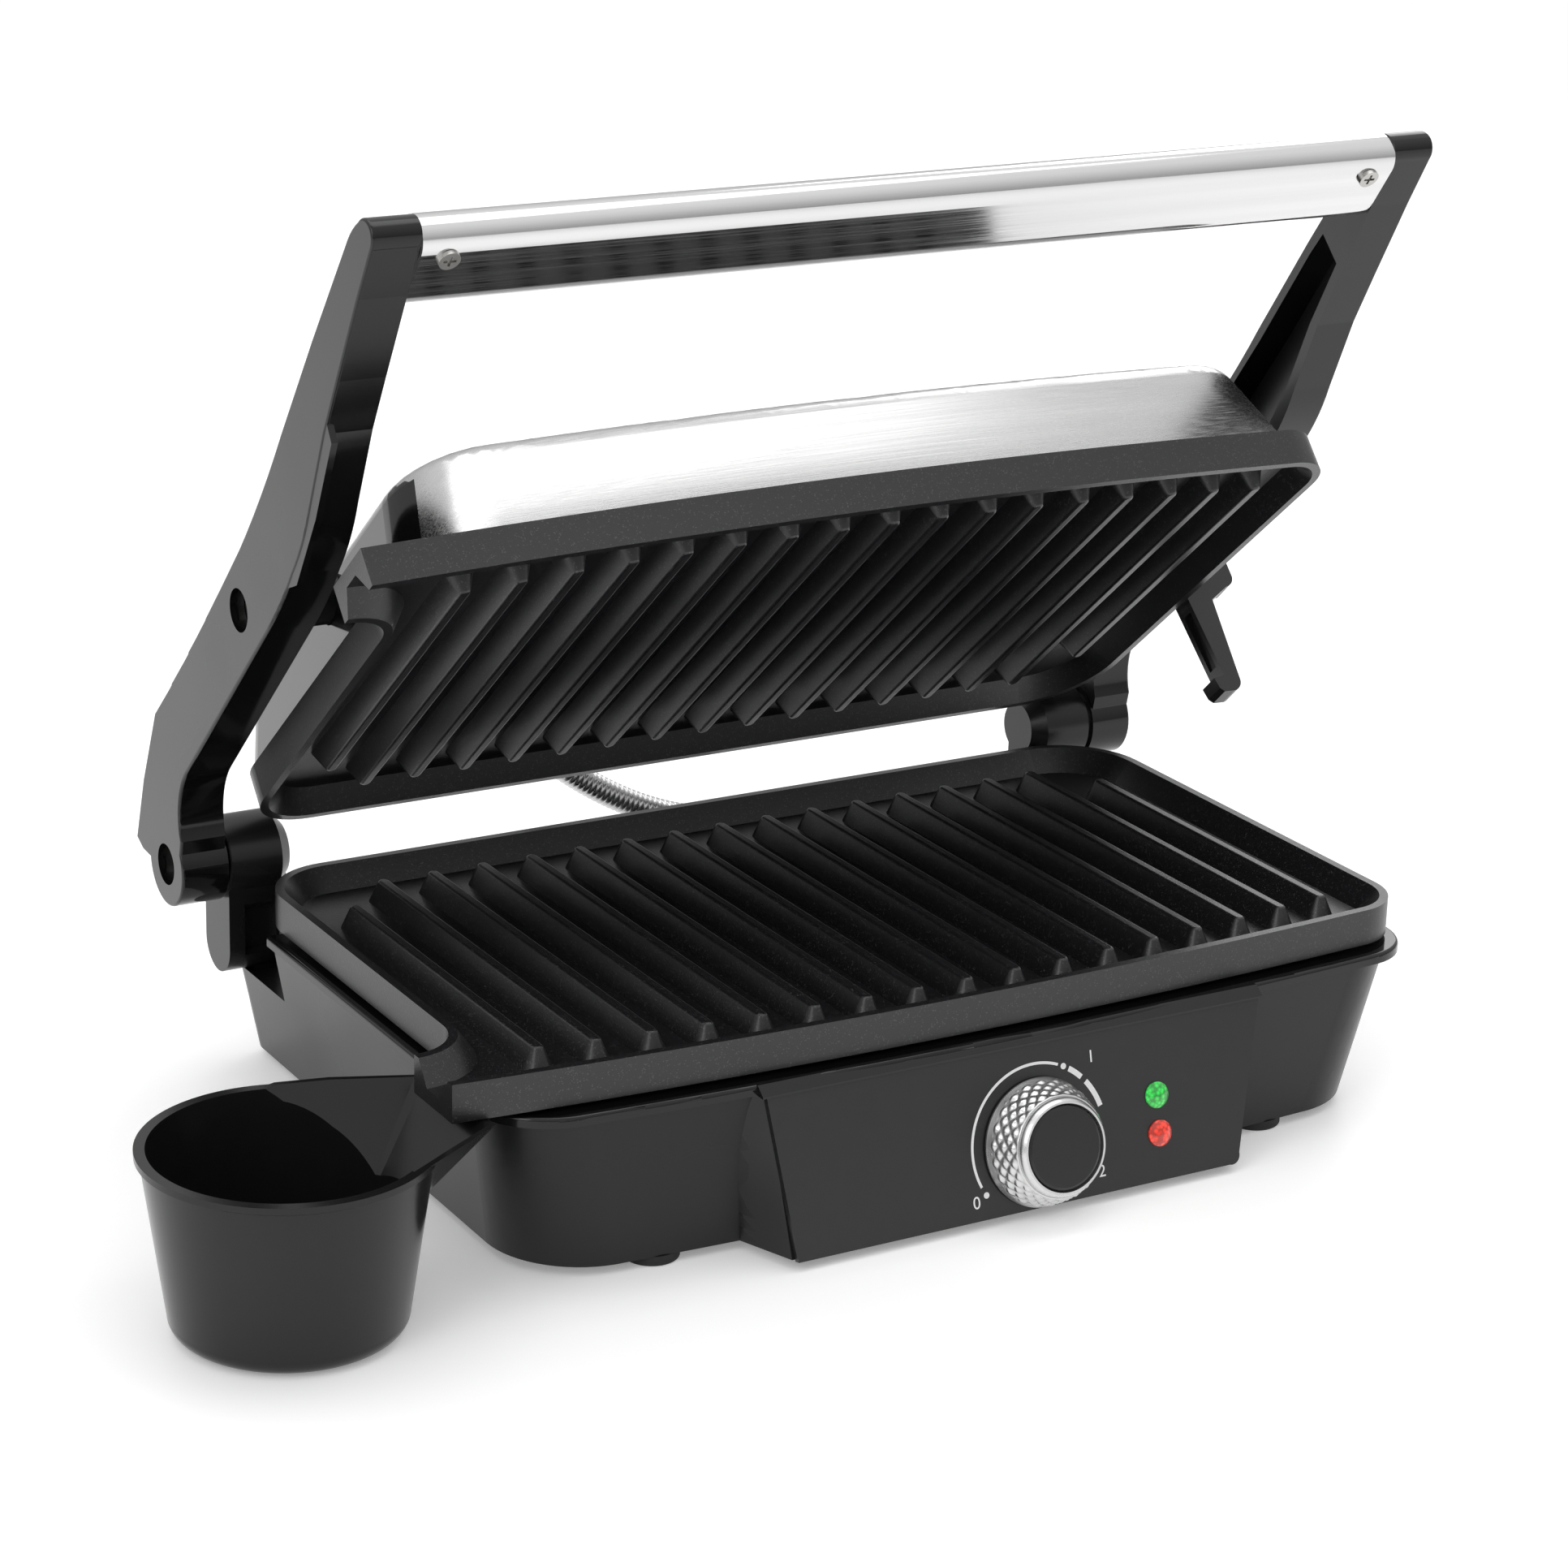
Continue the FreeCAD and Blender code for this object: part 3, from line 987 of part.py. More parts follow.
middle = new_sketch(frame_body, "MiddleClear", offset=seat)
block(middle, -127.0, 40.0, 127.0, 84.0)
feature(frame_body, "Pocket", "MiddleClearCut", middle, 30.0, back=True)
bores = new_sketch(frame_body, "PivotBores", "YZ_Plane", -154.0)
ring(bores, dim("hinge_back") - dim("pivot_forward"), dim("pivot_up"), dim("pivot_shank"))
feature(frame_body, "Pocket", "PivotBoreCut", bores, 308.0, back=True)
for side_name, hand in (("left", -1), ("right", 1)):
    pivot_screw(f"lid_pivot_{side_name}", LID, hand, 130.0)
lid_screws = []
for x, y in PLATE_BOSSES:
    lid_screws.append(Part.makeCylinder(1.7, 9.0, V(1.1 * x, y + 4, seat), V(0, 0, 1)))
screw_bores = new_sketch(frame_body, "ScrewBores", offset=seat)
for x, y in PLATE_BOSSES:
    ring(screw_bores, 1.1 * x, y + 4, 1.7)
feature(frame_body, "Pocket", "ScrewBoreCut", screw_bores, 9.0, back=True)
solid("lid_screws", shell_top, Part.makeCompound(lid_screws))
behind_dish = seat + REFLECTOR_DROP - SEAT_DROP + 0.8
solid("lid_terminal", shell_top, cuboid(-90, 105, behind_dish, -60, 120, behind_dish + 9))

# ---------------------------------------------------------------- drip cup
CUP = BASE.multiply(turned(dim("cup_x"), dim("cup_y"), 0))
cup = new_body("drip_cup", CUP)
wall_section = new_sketch(cup, "CupSection", "XZ_Plane")
foot_r, rim_r, rim_z, thin_wall = (dim(k) for k in ("cup_foot_radius", "cup_rim_radius", "cup_height", "cup_wall"))
lip = 1.4
inside = rim_r - lip - thin_wall
trace(wall_section,
      (0, 0.5), (foot_r - 5, 0.5), (foot_r - 1.2, 1.9, foot_r + 0.4, 5.5), (rim_r - lip, rim_z - 2.6),
      (rim_r, rim_z - 1.8), (rim_r, rim_z), (0, rim_z))
spin(cup, "Revolution", "CupBlank", wall_section)
# the pouring lip: its outline at the rim, drawn in towards a point as it runs down the wall
BEAK = [(9.0, 37.2), (13.0, 38.4), (27.5, 35.2), (49.5, 26.2), (50.6, 22.2), (53.6, -12.8), (35.0, -24.2), (22.0, -32.0)]
BEAK_HUB = (16.0, 3.0)


def beak_outline(name, z, share, inset):
    """The lip's outline at a height, drawn in to a share of its size and less a margin."""
    sketch = new_sketch(cup, name, offset=z)
    hub_x, hub_y = BEAK_HUB
    steps = []
    for x, y in BEAK:
        reach = math.hypot(x - hub_x, y - hub_y)
        size = share * (reach - inset) / reach
        steps.append((hub_x + (x - hub_x) * size, hub_y + (y - hub_y) * size))
    return trace(sketch, *reversed(steps))


loft(cup, "Additive", "Beak", beak_outline("BeakFoot", 26.0, 0.4, 0.0), beak_outline("BeakRim", rim_z, 1.0, 0.0), True)
loft(cup, "Subtractive", "BeakHollow",
     beak_outline("HollowFoot", 29.0, 0.4, 1.8), beak_outline("HollowRim", rim_z, 1.0, 1.8), True)
hollow = new_sketch(cup, "CupHollow", "XZ_Plane")
trace(hollow, (0, 2.5), (foot_r - 6, 2.5), (foot_r - 3.0, 3.2, foot_r + 0.4 - thin_wall, 6.5), (inside, rim_z),
      (0, rim_z))
spin(cup, "Groove", "Hollow", hollow)

# ---------------------------------------------------------------- conduit between housing and lid


def rounded_route(points, radius):
    """A wire through corner points whose bends are arcs tangent to the straight runs."""
    edges = []
    start = points[0]
    for before, corner, after in zip(points, points[1:], points[2:]):
        to_start = (before - corner).normalize()
        to_end = (after - corner).normalize()
        angle = to_start.getAngle(to_end)
        setback = radius / math.tan(angle / 2)
        first, last = corner + to_start * setback, corner + to_end * setback
        bisector = (to_start + to_end).normalize()
        middle = corner + bisector * (radius / math.sin(angle / 2) - radius)
        edges.append(Part.makeLine(start, first))
        edges.append(Part.Arc(first, middle, last).toShape())
        start = last
    edges.append(Part.makeLine(start, points[-1]))
    return Part.Wire(edges)


def in_base(frame, x, y, z):
    """A point of another frame, seen from the base."""
    return BASE.inverse().multVec(frame.multVec(V(x, y, z)))


lid_mouth = in_base(shell_top, EXIT["x"], 152.0, EXIT["w"])
lid_way = (in_base(shell_top, EXIT["x"], 153.0, EXIT["w"]) - lid_mouth)
route = [lid_mouth, lid_mouth + lid_way * 17.0, V(-4.0, 187.0, 52.0), V(CONDUIT_IN["x"], 181.0, CONDUIT_IN["z"]),
         V(CONDUIT_IN["x"], 153.0, CONDUIT_IN["z"])]
path = rounded_route(route, 13.0)


def hose(radius):
    section = Part.Wire(Part.makeCircle(radius, route[0], lid_way))
    return path.makePipeShell([section], True, True)


solid("conduit", BASE, hose(dim("conduit_radius")).cut(hose(dim("conduit_bore"))))


def lock_nut(label, frame, x, y, z, way):
    """A hexagonal nut round the conduit where it passes a wall."""
    centre = V(x, y, z)
    six = [centre + V(7.5 * math.cos(math.radians(60 * i)), 0, 7.5 * math.sin(math.radians(60 * i)))
           for i in range(7)]
    nut = Part.Face(Part.makePolygon(six)).extrude(V(0, way, 0))
    hole = Part.makeCylinder(dim("conduit_radius"), 20, centre - V(0, 10, 0), V(0, 1, 0))
    return solid(label, frame, nut.cut(hole))


lock_nut("conduit_nut_base", BASE, CONDUIT_IN["x"], dim("deck_rear"), CONDUIT_IN["z"], 4.0)

# ---------------------------------------------------------------- write the files
os.makedirs("parts", exist_ok=True)
doc.recompute()
for item in doc.Objects:
    if "Invalid" in item.State or "Error" in item.State:
        raise RuntimeError(f"{item.Label} did not compute: {item.State}")
labels = [item.Label for item in nodes]
if len(set(labels)) != len(labels):
    raise RuntimeError("two sub-parts share a name")
for item in nodes:
    shape = item.Shape
    if shape.isNull() or not shape.isValid() or not shape.Solids:
        raise RuntimeError(f"{item.Label} has no valid solid")
    shape.exportStep(f"parts/{item.Label}.step")
whole = Part.makeCompound([item.Shape for item in nodes]).BoundBox
print(f"{len(nodes)} nodes, box X {whole.XMin:.2f} {whole.XMax:.2f} Y {whole.YMin:.2f} {whole.YMax:.2f} "
      f"Z {whole.ZMin:.2f} {whole.ZMax:.2f}")
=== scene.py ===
"""Looks for the panini press: materials, printed marks, knurling and the spiral conduit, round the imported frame.

Everything is in metres in the row frame: X across, Y from the cook to the hinge, Z up from the table.
"""
import json
import math

import bmesh
import bpy
from mathutils import Matrix, Vector


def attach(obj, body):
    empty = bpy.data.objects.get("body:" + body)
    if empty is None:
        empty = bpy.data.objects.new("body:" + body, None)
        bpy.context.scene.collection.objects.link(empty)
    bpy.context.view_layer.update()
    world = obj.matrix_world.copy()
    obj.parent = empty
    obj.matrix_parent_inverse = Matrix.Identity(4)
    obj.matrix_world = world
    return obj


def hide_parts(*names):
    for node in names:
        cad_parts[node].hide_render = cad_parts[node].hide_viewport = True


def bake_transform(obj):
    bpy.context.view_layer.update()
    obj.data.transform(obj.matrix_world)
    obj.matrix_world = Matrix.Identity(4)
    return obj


MM = 0.001

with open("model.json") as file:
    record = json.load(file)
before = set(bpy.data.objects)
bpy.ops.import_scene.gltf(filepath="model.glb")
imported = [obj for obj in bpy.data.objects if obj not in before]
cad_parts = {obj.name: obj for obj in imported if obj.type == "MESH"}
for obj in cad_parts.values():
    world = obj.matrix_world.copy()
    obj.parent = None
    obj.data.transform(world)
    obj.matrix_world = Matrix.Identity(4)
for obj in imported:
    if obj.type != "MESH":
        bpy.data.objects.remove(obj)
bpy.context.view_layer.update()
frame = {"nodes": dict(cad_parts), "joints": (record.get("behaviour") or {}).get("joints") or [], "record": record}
JOINTS = {j["name"]: j for j in frame["joints"]}
NODES = frame["nodes"]


# ---------------------------------------------------------------- materials
class Paint:
    """A Principled material and the nodes that feed it. Textures run in the row frame, per metre."""

    def __init__(self, name, colour, roughness, **constants):
        self.material = bpy.data.materials.new(name)
        self.material.use_nodes = True
        self.tree = self.material.node_tree
        self.shader = self.tree.nodes["Principled BSDF"]
        self.set(Base_Color=(*colour, 1.0), Roughness=roughness, **constants)
        self.place = self.tree.nodes.new("ShaderNodeTexCoord").outputs["Object"]
        self.bumps = None

    def set(self, **constants):
        for key, number in constants.items():
            self.shader.inputs[key.replace("_", " ")].default_value = number

    def add(self, kind, **inputs):
        node = self.tree.nodes.new(f"ShaderNode{kind}")
        for key, source in inputs.items():
            self.feed(node.inputs[key.replace("_", " ")], source)
        return node

    def feed(self, socket, source):
        if isinstance(source, bpy.types.NodeSocket):
            self.tree.links.new(source, socket)
        else:
            socket.default_value = source

    def stretched(self, x, y, z):
        """The place in the row frame, scaled along each axis."""
        node = self.add("Mapping", Vector=self.place)
        node.inputs["Scale"].default_value = (x, y, z)
        return node.outputs["Vector"]

    def noise(self, scale, detail=3.0, place=None):
        node = self.add("TexNoise", Vector=self.place if place is None else place, Scale=scale, Detail=detail)
        return node.outputs["Fac"]

    def ramp(self, source, low, high, to_low=0.0, to_high=1.0):
        """source's range low..high stretched to to_low..to_high, and held at its ends."""
        node = self.add("MapRange", Value=source)
        for key, number in (("From Min", low), ("From Max", high), ("To Min", to_low), ("To Max", to_high)):
            node.inputs[key].default_value = number
        return node.outputs["Result"]

    def mix(self, share, a, b):
        node = self.tree.nodes.new("ShaderNodeMix")
        node.data_type = "RGBA"
        self.feed(node.inputs["Factor"], share)
        self.feed(node.inputs[6], (*a, 1.0) if isinstance(a, tuple) else a)
        self.feed(node.inputs[7], (*b, 1.0) if isinstance(b, tuple) else b)
        return node.outputs[2]

    def colour(self, source):
        self.feed(self.shader.inputs["Base Color"], source)

    def roughness(self, source):
        self.feed(self.shader.inputs["Roughness"], source)

    def bump(self, source, depth, strength=1.0):
        """Relief of a depth in metres, laid over any relief already there."""
        node = self.add("Bump", Height=source, Strength=strength, Distance=depth)
        if self.bumps:
            self.feed(node.inputs["Normal"], self.bumps)
        self.bumps = node.outputs["Normal"]
        self.feed(self.shader.inputs["Normal"], self.bumps)


def moulded(name, shade, roughness, grain=0.03, gloss=0.5):
    """Moulded plastic: a fine spark-eroded grain and slightly uneven gloss."""
    paint = Paint(name, (shade, shade, shade * 1.03), roughness, Specular_IOR_Level=gloss)
    broad = paint.noise(14.0, 2.0)
    paint.roughness(paint.ramp(broad, 0.3, 0.7, roughness - 0.04, roughness + 0.05))
    dark = (shade * 0.88,) * 3
    pale = (shade * 1.12, shade * 1.12, shade * 1.16)
    paint.colour(paint.mix(paint.noise(160.0), dark, pale))
    paint.bump(paint.noise(2600.0, 2.0), grain * MM)
    return paint.material


def coated(name):
    """Non-stick coating over a sand-cast plate: near black, with fine pale flecks and a pebbled skin."""
    paint = Paint(name, (0.010, 0.010, 0.011), 0.34, Specular_IOR_Level=0.62)
    cells = paint.add("TexVoronoi", Vector=paint.place, Scale=1700.0)
    cells.inputs["Randomness"].default_value = 1.0
    spot = paint.ramp(cells.outputs["Distance"], 0.18, 0.34, 1.0, 0.0)
    kept = paint.ramp(paint.noise(900.0, 1.0), 0.50, 0.62)
    fleck = paint.add("Math", Value=spot)
    fleck.operation = "MULTIPLY"
    paint.feed(fleck.inputs[1], kept)
    fleck = fleck.outputs["Value"]
    paint.colour(paint.mix(fleck, (0.008, 0.008, 0.009), (0.085, 0.085, 0.09)))
    paint.roughness(paint.ramp(fleck, 0.0, 1.0, 0.34, 0.26))
    paint.bump(paint.noise(1500.0, 4.0), 0.035 * MM)
    paint.bump(paint.noise(90.0, 2.0), 0.04 * MM)
    return paint.material


def brushed(name, shade, roughness, along, depth=0.01):
    """Steel with a grain along one axis: fine streaks in gloss, tone and relief."""
    paint = Paint(name, (shade, shade, shade * 0.985), roughness, Metallic=1.0)
    scale = [2200.0, 2200.0, 2200.0]
    scale["XYZ".index(along)] = 14.0
    streaks = paint.noise(1.0, 4.0, paint.stretched(*scale))
    broad = [240.0, 240.0, 240.0]
    broad["XYZ".index(along)] = 3.0
    bands = paint.noise(1.0, 2.0, paint.stretched(*broad))
    paint.roughness(paint.ramp(streaks, 0.3, 0.7, roughness - 0.06, roughness + 0.08))
    paint.colour(paint.mix(bands, (shade * 0.90,) * 3, (min(shade * 1.08, 0.9),) * 3))
    paint.bump(streaks, depth * MM)
    return paint.material


def sheet_metal(name, shade, roughness, tint=(1.0, 1.0, 1.0)):
    """Plated or rolled metal: soft blotches and fine scratches."""
    paint = Paint(name, tuple(shade * part for part in tint), roughness, Metallic=1.0)
    paint.roughness(paint.ramp(paint.noise(60.0), 0.3, 0.7, roughness - 0.05, roughness + 0.1))
    paint.bump(paint.noise(1800.0, 2.0), 0.01 * MM)
    return paint.material


def lit_lens(name, colour, glow):
    """A coloured lens with its lamp lit behind a faceted back."""
    paint = Paint(name, colour, 0.10, Coat_Weight=0.8, Coat_Roughness=0.04, Emission_Color=(*colour, 1.0))
    facets = paint.add("TexVoronoi", Vector=paint.place, Scale=800.0).outputs["Distance"]
    paint.feed(paint.shader.inputs["Emission Strength"], paint.ramp(facets, 0.0, 0.7, glow * 1.5, glow * 0.4))
    paint.colour(paint.mix(paint.ramp(facets, 0.1, 0.7), colour, tuple(part * 0.35 for part in colour)))
    paint.bump(facets, 0.12 * MM)
    return paint.material


def printed(name, shade):
    """Printing ink: thin, matte, with a slightly uneven film."""
    paint = Paint(name, (shade, shade, shade), 0.5)
    paint.colour(paint.mix(paint.noise(900.0), (shade * 0.94,) * 3, (shade,) * 3))
    paint.bump(paint.noise(3000.0, 1.0), 0.01 * MM)
    return paint.material


LOOKS = {
    "housing": moulded("housing_black", 0.007, 0.27, 0.010, 0.36),
    "panel": moulded("panel_black", 0.014, 0.33, 0.016, 0.5),
    "gloss": moulded("gloss_black", 0.004, 0.09, 0.003, 0.42),
    "nonstick": coated("nonstick_fleck"),
    "heater": sheet_metal("element_sheath", 0.34, 0.45),
    "sheet_steel": sheet_metal("bright_sheet", 0.75, 0.22),
    "electrical": moulded("electrical_cream", 0.62, 0.5),
    "screw": sheet_metal("zinc_plate", 0.46, 0.30, (1.0, 0.98, 0.94)),
    "foot": moulded("foot_rubber", 0.012, 0.75),
    "arm": moulded("arm_black", 0.012, 0.27, 0.010, 0.5),
    "post": moulded("post_black", 0.007, 0.27, 0.010, 0.4),
    "steel": brushed("cover_steel", 0.56, 0.24, "X"),
    "handle": brushed("handle_steel", 0.70, 0.11, "X", 0.003),
    "knob": sheet_metal("knob_silver", 0.72, 0.27),
    "cap": moulded("cap_black", 0.008, 0.26, 0.006),
    "cup": moulded("cup_black", 0.008, 0.20, 0.006, 0.36),
    "green_lens": lit_lens("green_lamp", (0.02, 0.55, 0.06), 0.55),
    "red_lens": lit_lens("red_lamp", (0.75, 0.03, 0.01), 0.75),
    "lamp": sheet_metal("lamp_glass", 0.80, 0.10),
    "conduit": sheet_metal("conduit_steel", 0.60, 0.24),
}
INK = printed("white_ink", 0.80)
SLOT_OF = {s["node"]: s["material_slot"] for s in frame["record"]["subparts"]}
for node_name, cad in NODES.items():
    cad.data.materials.clear()
    cad.data.materials.append(LOOKS[SLOT_OF[node_name]])
for face in NODES["drip_cup"].data.polygons:
    face.use_smooth = True


def glaze(node, glossy):
    """Glossy black on the faces of a node that the test picks by middle (mm) and normal."""
    mesh = NODES[node].data
    mesh.materials.append(LOOKS["gloss"])
    for face in mesh.polygons:
        if glossy(face.center / MM, face.normal):
            face.material_index = 1


# moulded tops, ledges and bevels are polished; broad outer faces are satin. The steel lid cover's sides get the
# glossy black as a painted reflection of the dark arms beside them
FLANGE_FOOT = 47.5
PANEL_FRONT_Y = -93.0
glaze("base_housing", lambda at, way: at.z > FLANGE_FOOT or (at.y < PANEL_FRONT_Y and abs(way.x) > 0.5))
# painted reflection: the steel cover's side faces are made glossy black plastic to stand in for the dark arms
# mirrored in the steel
glaze("lid_cover", lambda at, way: abs(way.x) > 0.8)
for arm in ("arm_left", "arm_right"):
    glaze(arm, lambda at, way: abs(way.x) < 0.6)


# ---------------------------------------------------------------- mesh pieces
def piece(name, mesh, material, body):
    """A finished mesh object that rides on a body."""
    item = bpy.data.objects.new(name, mesh)
    bpy.context.scene.collection.objects.link(item)
    item.data.materials.append(material)
    if body:
        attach(item, body)
    return item


def mesh_of(name, points, faces, smooth=True):
    mesh = bpy.data.meshes.new(name)
    mesh.from_pydata([tuple(p) for p in points], [], faces)
    for face in mesh.polygons:
        face.use_smooth = smooth
    mesh.validate()
    return mesh


# the panel's own directions, from the knob's axis
DIAL = Vector(JOINTS["knob_turn"]["pos_m"])
OUT = Vector(JOINTS["knob_turn"]["axis"]).normalized()
ACROSS = Vector((1, 0, 0))
UP = OUT.cross(ACROSS)


def on_panel(x, up, out=0.0):
    """A point on the panel, in millimetres from the dial's centre."""
    return DIAL + (ACROSS * x + UP * up + OUT * out) * MM


PRINT_LIFT = 0.06


def print_strip(name, inner, outer, start, end):
    """A printed arc round the dial, degrees anticlockwise from the right, as a thin closed plate."""
    steps = max(3, int(abs(end - start) / 3))
    points, faces = [], []
    for i in range(steps + 1):
        angle = math.radians(start + (end - start) * i / steps)
        c, s = math.cos(angle), math.sin(angle)
        for radius, lift in ((inner, 0), (outer, 0), (outer, PRINT_LIFT), (inner, PRINT_LIFT)):
            points.append(on_panel(radius * c, radius * s, lift))
    for i in range(steps):
        a, b = 4 * i, 4 * i + 4
        for k in range(4):
            faces.append((a + k, a + (k + 1) % 4, b + (k + 1) % 4, b + k))
    faces += [(3, 2, 1, 0), tuple(4 * steps + k for k in range(4))]
    return piece(name, mesh_of(name, points, faces, False), INK, "base")


def print_dot(name, x, up, radius):
    count = 20
    points, faces = [], []
    for lift in (0, PRINT_LIFT):
        for i in range(count):
            angle = 2 * math.pi * i / count
            points.append(on_panel(x + radius * math.cos(angle), up + radius * math.sin(angle), lift))
    for i in range(count):
        j = (i + 1) % count
        faces.append((i, j, count + j, count + i))
    faces += [tuple(reversed(range(count))), tuple(range(count, 2 * count))]
    return piece(name, mesh_of(name, points, faces, False), INK, "base")


def print_digit(name, text, x, up, height):
    """A digit in the default typeface, laid on the panel."""
    curve = bpy.data.curves.new(name, "FONT")
    curve.body = text
    curve.size = height * MM * 1.4
    curve.extrude = PRINT_LIFT * MM / 2
    curve.align_x, curve.align_y = "CENTER", "CENTER"
    letter = bpy.data.objects.new(name, curve)
    bpy.context.scene.collection.objects.link(letter)
    letter.matrix_world = Matrix.Translation(on_panel(x, up, PRINT_LIFT / 2)) @ Matrix(
        (ACROSS, UP, OUT)).transposed().to_4x4()
    bpy.context.view_layer.update()
    mesh = bpy.data.meshes.new_from_object(letter)
    mesh.transform(letter.matrix_world)
    bpy.data.objects.remove(letter)
    return piece(name, mesh, INK, "base")


SCALE_RADIUS, SCALE_WIDTH = 22.2, 0.8
print_strip("dial_scale", SCALE_RADIUS - SCALE_WIDTH / 2, SCALE_RADIUS + SCALE_WIDTH / 2, 205, 68)
for tag, start, end in (("high", 58, 45), ("top", 40, 17)):
    print_strip(f"dial_dash_{tag}", SCALE_RADIUS - 0.8, SCALE_RADIUS + 0.8, start, end)
for tag, angle in (("zero", 212), ("mid", 63)):
    c, s = math.cos(math.radians(angle)), math.sin(math.radians(angle))
    print_dot(f"dial_dot_{tag}", SCALE_RADIUS * c, SCALE_RADIUS * s, 0.9)
print_digit("dial_digit_0", "0", -22.2, -13.5, 3.6)
print_digit("dial_digit_1", "1", 19.5, 20.8, 3.6)
print_digit("dial_digit_2", "2", 20.0, -12.3, 3.6)


# ---------------------------------------------------------------- knob
KNOB_BASE, KNOB_FACE, KNOB_HEIGHT = 18.4, 14.1, 13.6
KNURL_ROWS, KNURL_ROUND, KNURL_DEPTH = 3, 22, 0.6
KNURL_STEPS = 10
KNURL_FROM, KNURL_TO = 2.0, 2.2
KNURL_SUNK, KNURL_PROUD = 0.3, 0.05
TAPER_FROM, TAPER_TO = 0.6, 1.2


def knurl_sleeve():
    """Soft diamond knurling round the knob's taper, as a closed sleeve just proud of the metal."""
    rows, turns = KNURL_ROWS * KNURL_STEPS, KNURL_ROUND * KNURL_STEPS
    low, high = KNURL_FROM, KNOB_HEIGHT - KNURL_TO
    points, faces = [], []
    for layer in (1, 0):
        for i in range(rows + 1):
            share = i / rows
            out = low + (high - low) * share
            taper = (out - TAPER_FROM) / (KNOB_HEIGHT - TAPER_TO - TAPER_FROM)
            radius = KNOB_BASE + (KNOB_FACE - KNOB_BASE) * taper
            fade = min(1.0, 6 * share, 6 * (1 - share))
            for j in range(turns):
                a = 2 * math.pi * j / turns
                u, v = KNURL_ROUND * a, 2 * math.pi * KNURL_ROWS * share
                wave = (0.25 * (1 + math.cos(u + v)) * (1 + math.cos(u - v))) ** 0.6
                r = radius - KNURL_SUNK if layer == 0 else radius + KNURL_PROUD + KNURL_DEPTH * wave * fade
                points.append(on_panel(r * math.cos(a), r * math.sin(a), out))
    size = (rows + 1) * turns
    for i in range(rows):
        for j in range(turns):
            k = (j + 1) % turns
            quad = (i * turns + j, i * turns + k, (i + 1) * turns + k, (i + 1) * turns + j)
            faces.append(quad)
            faces.append(tuple(size + n for n in reversed(quad)))
    for row in (0, rows):
        for j in range(turns):
            k = (j + 1) % turns
            quad = (row * turns + j, row * turns + k, size + row * turns + k, size + row * turns + j)
            faces.append(tuple(reversed(quad)) if row == 0 else quad)
    return piece("knob_knurl", mesh_of("knob_knurl", points, faces), LOOKS["knob"], "knob_group")


knurl_sleeve()


# ---------------------------------------------------------------- spiral conduit
CONDUIT_ROUTE = [(70.15, 81.2, 42.0), (70.15, 109.2, 42.0), (30.15, 115.2, 52.0), (-11.85, 115.746, 83.77),
                 (-11.85, 102.955, 94.967)]
CONDUIT_SPLIT, CONDUIT_STILL, SEAM_GAP = 0.52, 0.22, 0.0075
TURN_PITCH, TURN_RADIUS, TURN_DEPTH, TURN_SIDES = 1.9, 4.35, 0.38, 28


def conduit_line():
    """Points along the route's smooth line, in metres."""
    curve = bpy.data.curves.new("conduit_line", "CURVE")
    curve.dimensions = "3D"
    spline = curve.splines.new("NURBS")
    spline.points.add(len(CONDUIT_ROUTE) - 1)
    for point, place in zip(spline.points, CONDUIT_ROUTE):
        point.co = (*(Vector(place) * MM), 1.0)
    spline.order_u = 3
    spline.use_endpoint_u = True
    spline.resolution_u = 256
    holder = bpy.data.objects.new("conduit_line", curve)
    bpy.context.scene.collection.objects.link(holder)
    bpy.context.view_layer.update()
    mesh = bpy.data.meshes.new_from_object(holder)
    line = [v.co.copy() for v in mesh.vertices]
    bpy.data.objects.remove(holder)
    return line


def lengths_along(line):
    """How far along the line each of its points is, in metres."""
    lengths = [0.0]
    for a, b in zip(line, line[1:]):
        lengths.append(lengths[-1] + (b - a).length)
    return lengths


def point_at(share):
    """The number of the first route point at or past a share of the route's length."""
    return next(i for i, far in enumerate(distances) if far >= share * distances[-1])


def spiral_tube(name, first, last):
    """A closed tube along part of the route, wound from rounded strip: its radius swells once each turn."""
    side = Vector((0, 0, 1))
    points, faces, rings = [], [], []
    for i, place in enumerate(route):
        ahead = (route[min(i + 1, len(route) - 1)] - route[max(i - 1, 0)]).normalized()
        side = (side - ahead * side.dot(ahead)).normalized()
        other = ahead.cross(side)
        if not first <= i <= last:
            continue
        turned = math.pi * distances[i] / MM / TURN_PITCH
        ring = []
        for j in range(TURN_SIDES):
            a = 2 * math.pi * j / TURN_SIDES
            wave = abs(math.sin(turned - a / 2))
            radius = (TURN_RADIUS - TURN_DEPTH * (1 - wave)) * MM
            ring.append(len(points))
            points.append(place + (side * math.cos(a) + other * math.sin(a)) * radius)
        rings.append(ring)
    for low, high in zip(rings, rings[1:]):
        for j in range(TURN_SIDES):
            k = (j + 1) % TURN_SIDES
            faces.append((low[j], low[k], high[k], high[j]))
    faces += [tuple(reversed(rings[0])), tuple(rings[-1])]
    return piece(name, mesh_of(name, points, faces), LOOKS["conduit"], None)


route = conduit_line()
distances = lengths_along(route)
middle = point_at(CONDUIT_SPLIT)
lower_hose = spiral_tube("conduit_lower", 0, middle)
upper_hose = spiral_tube("conduit_upper", middle, len(route) - 1)
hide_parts("conduit")
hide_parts("conduit")
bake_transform(lower_hose)
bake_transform(upper_hose)


# ---------------------------------------------------------------- light, floor and camera
SKY_LOW, SKY_HIGH = 0.42, 0.95


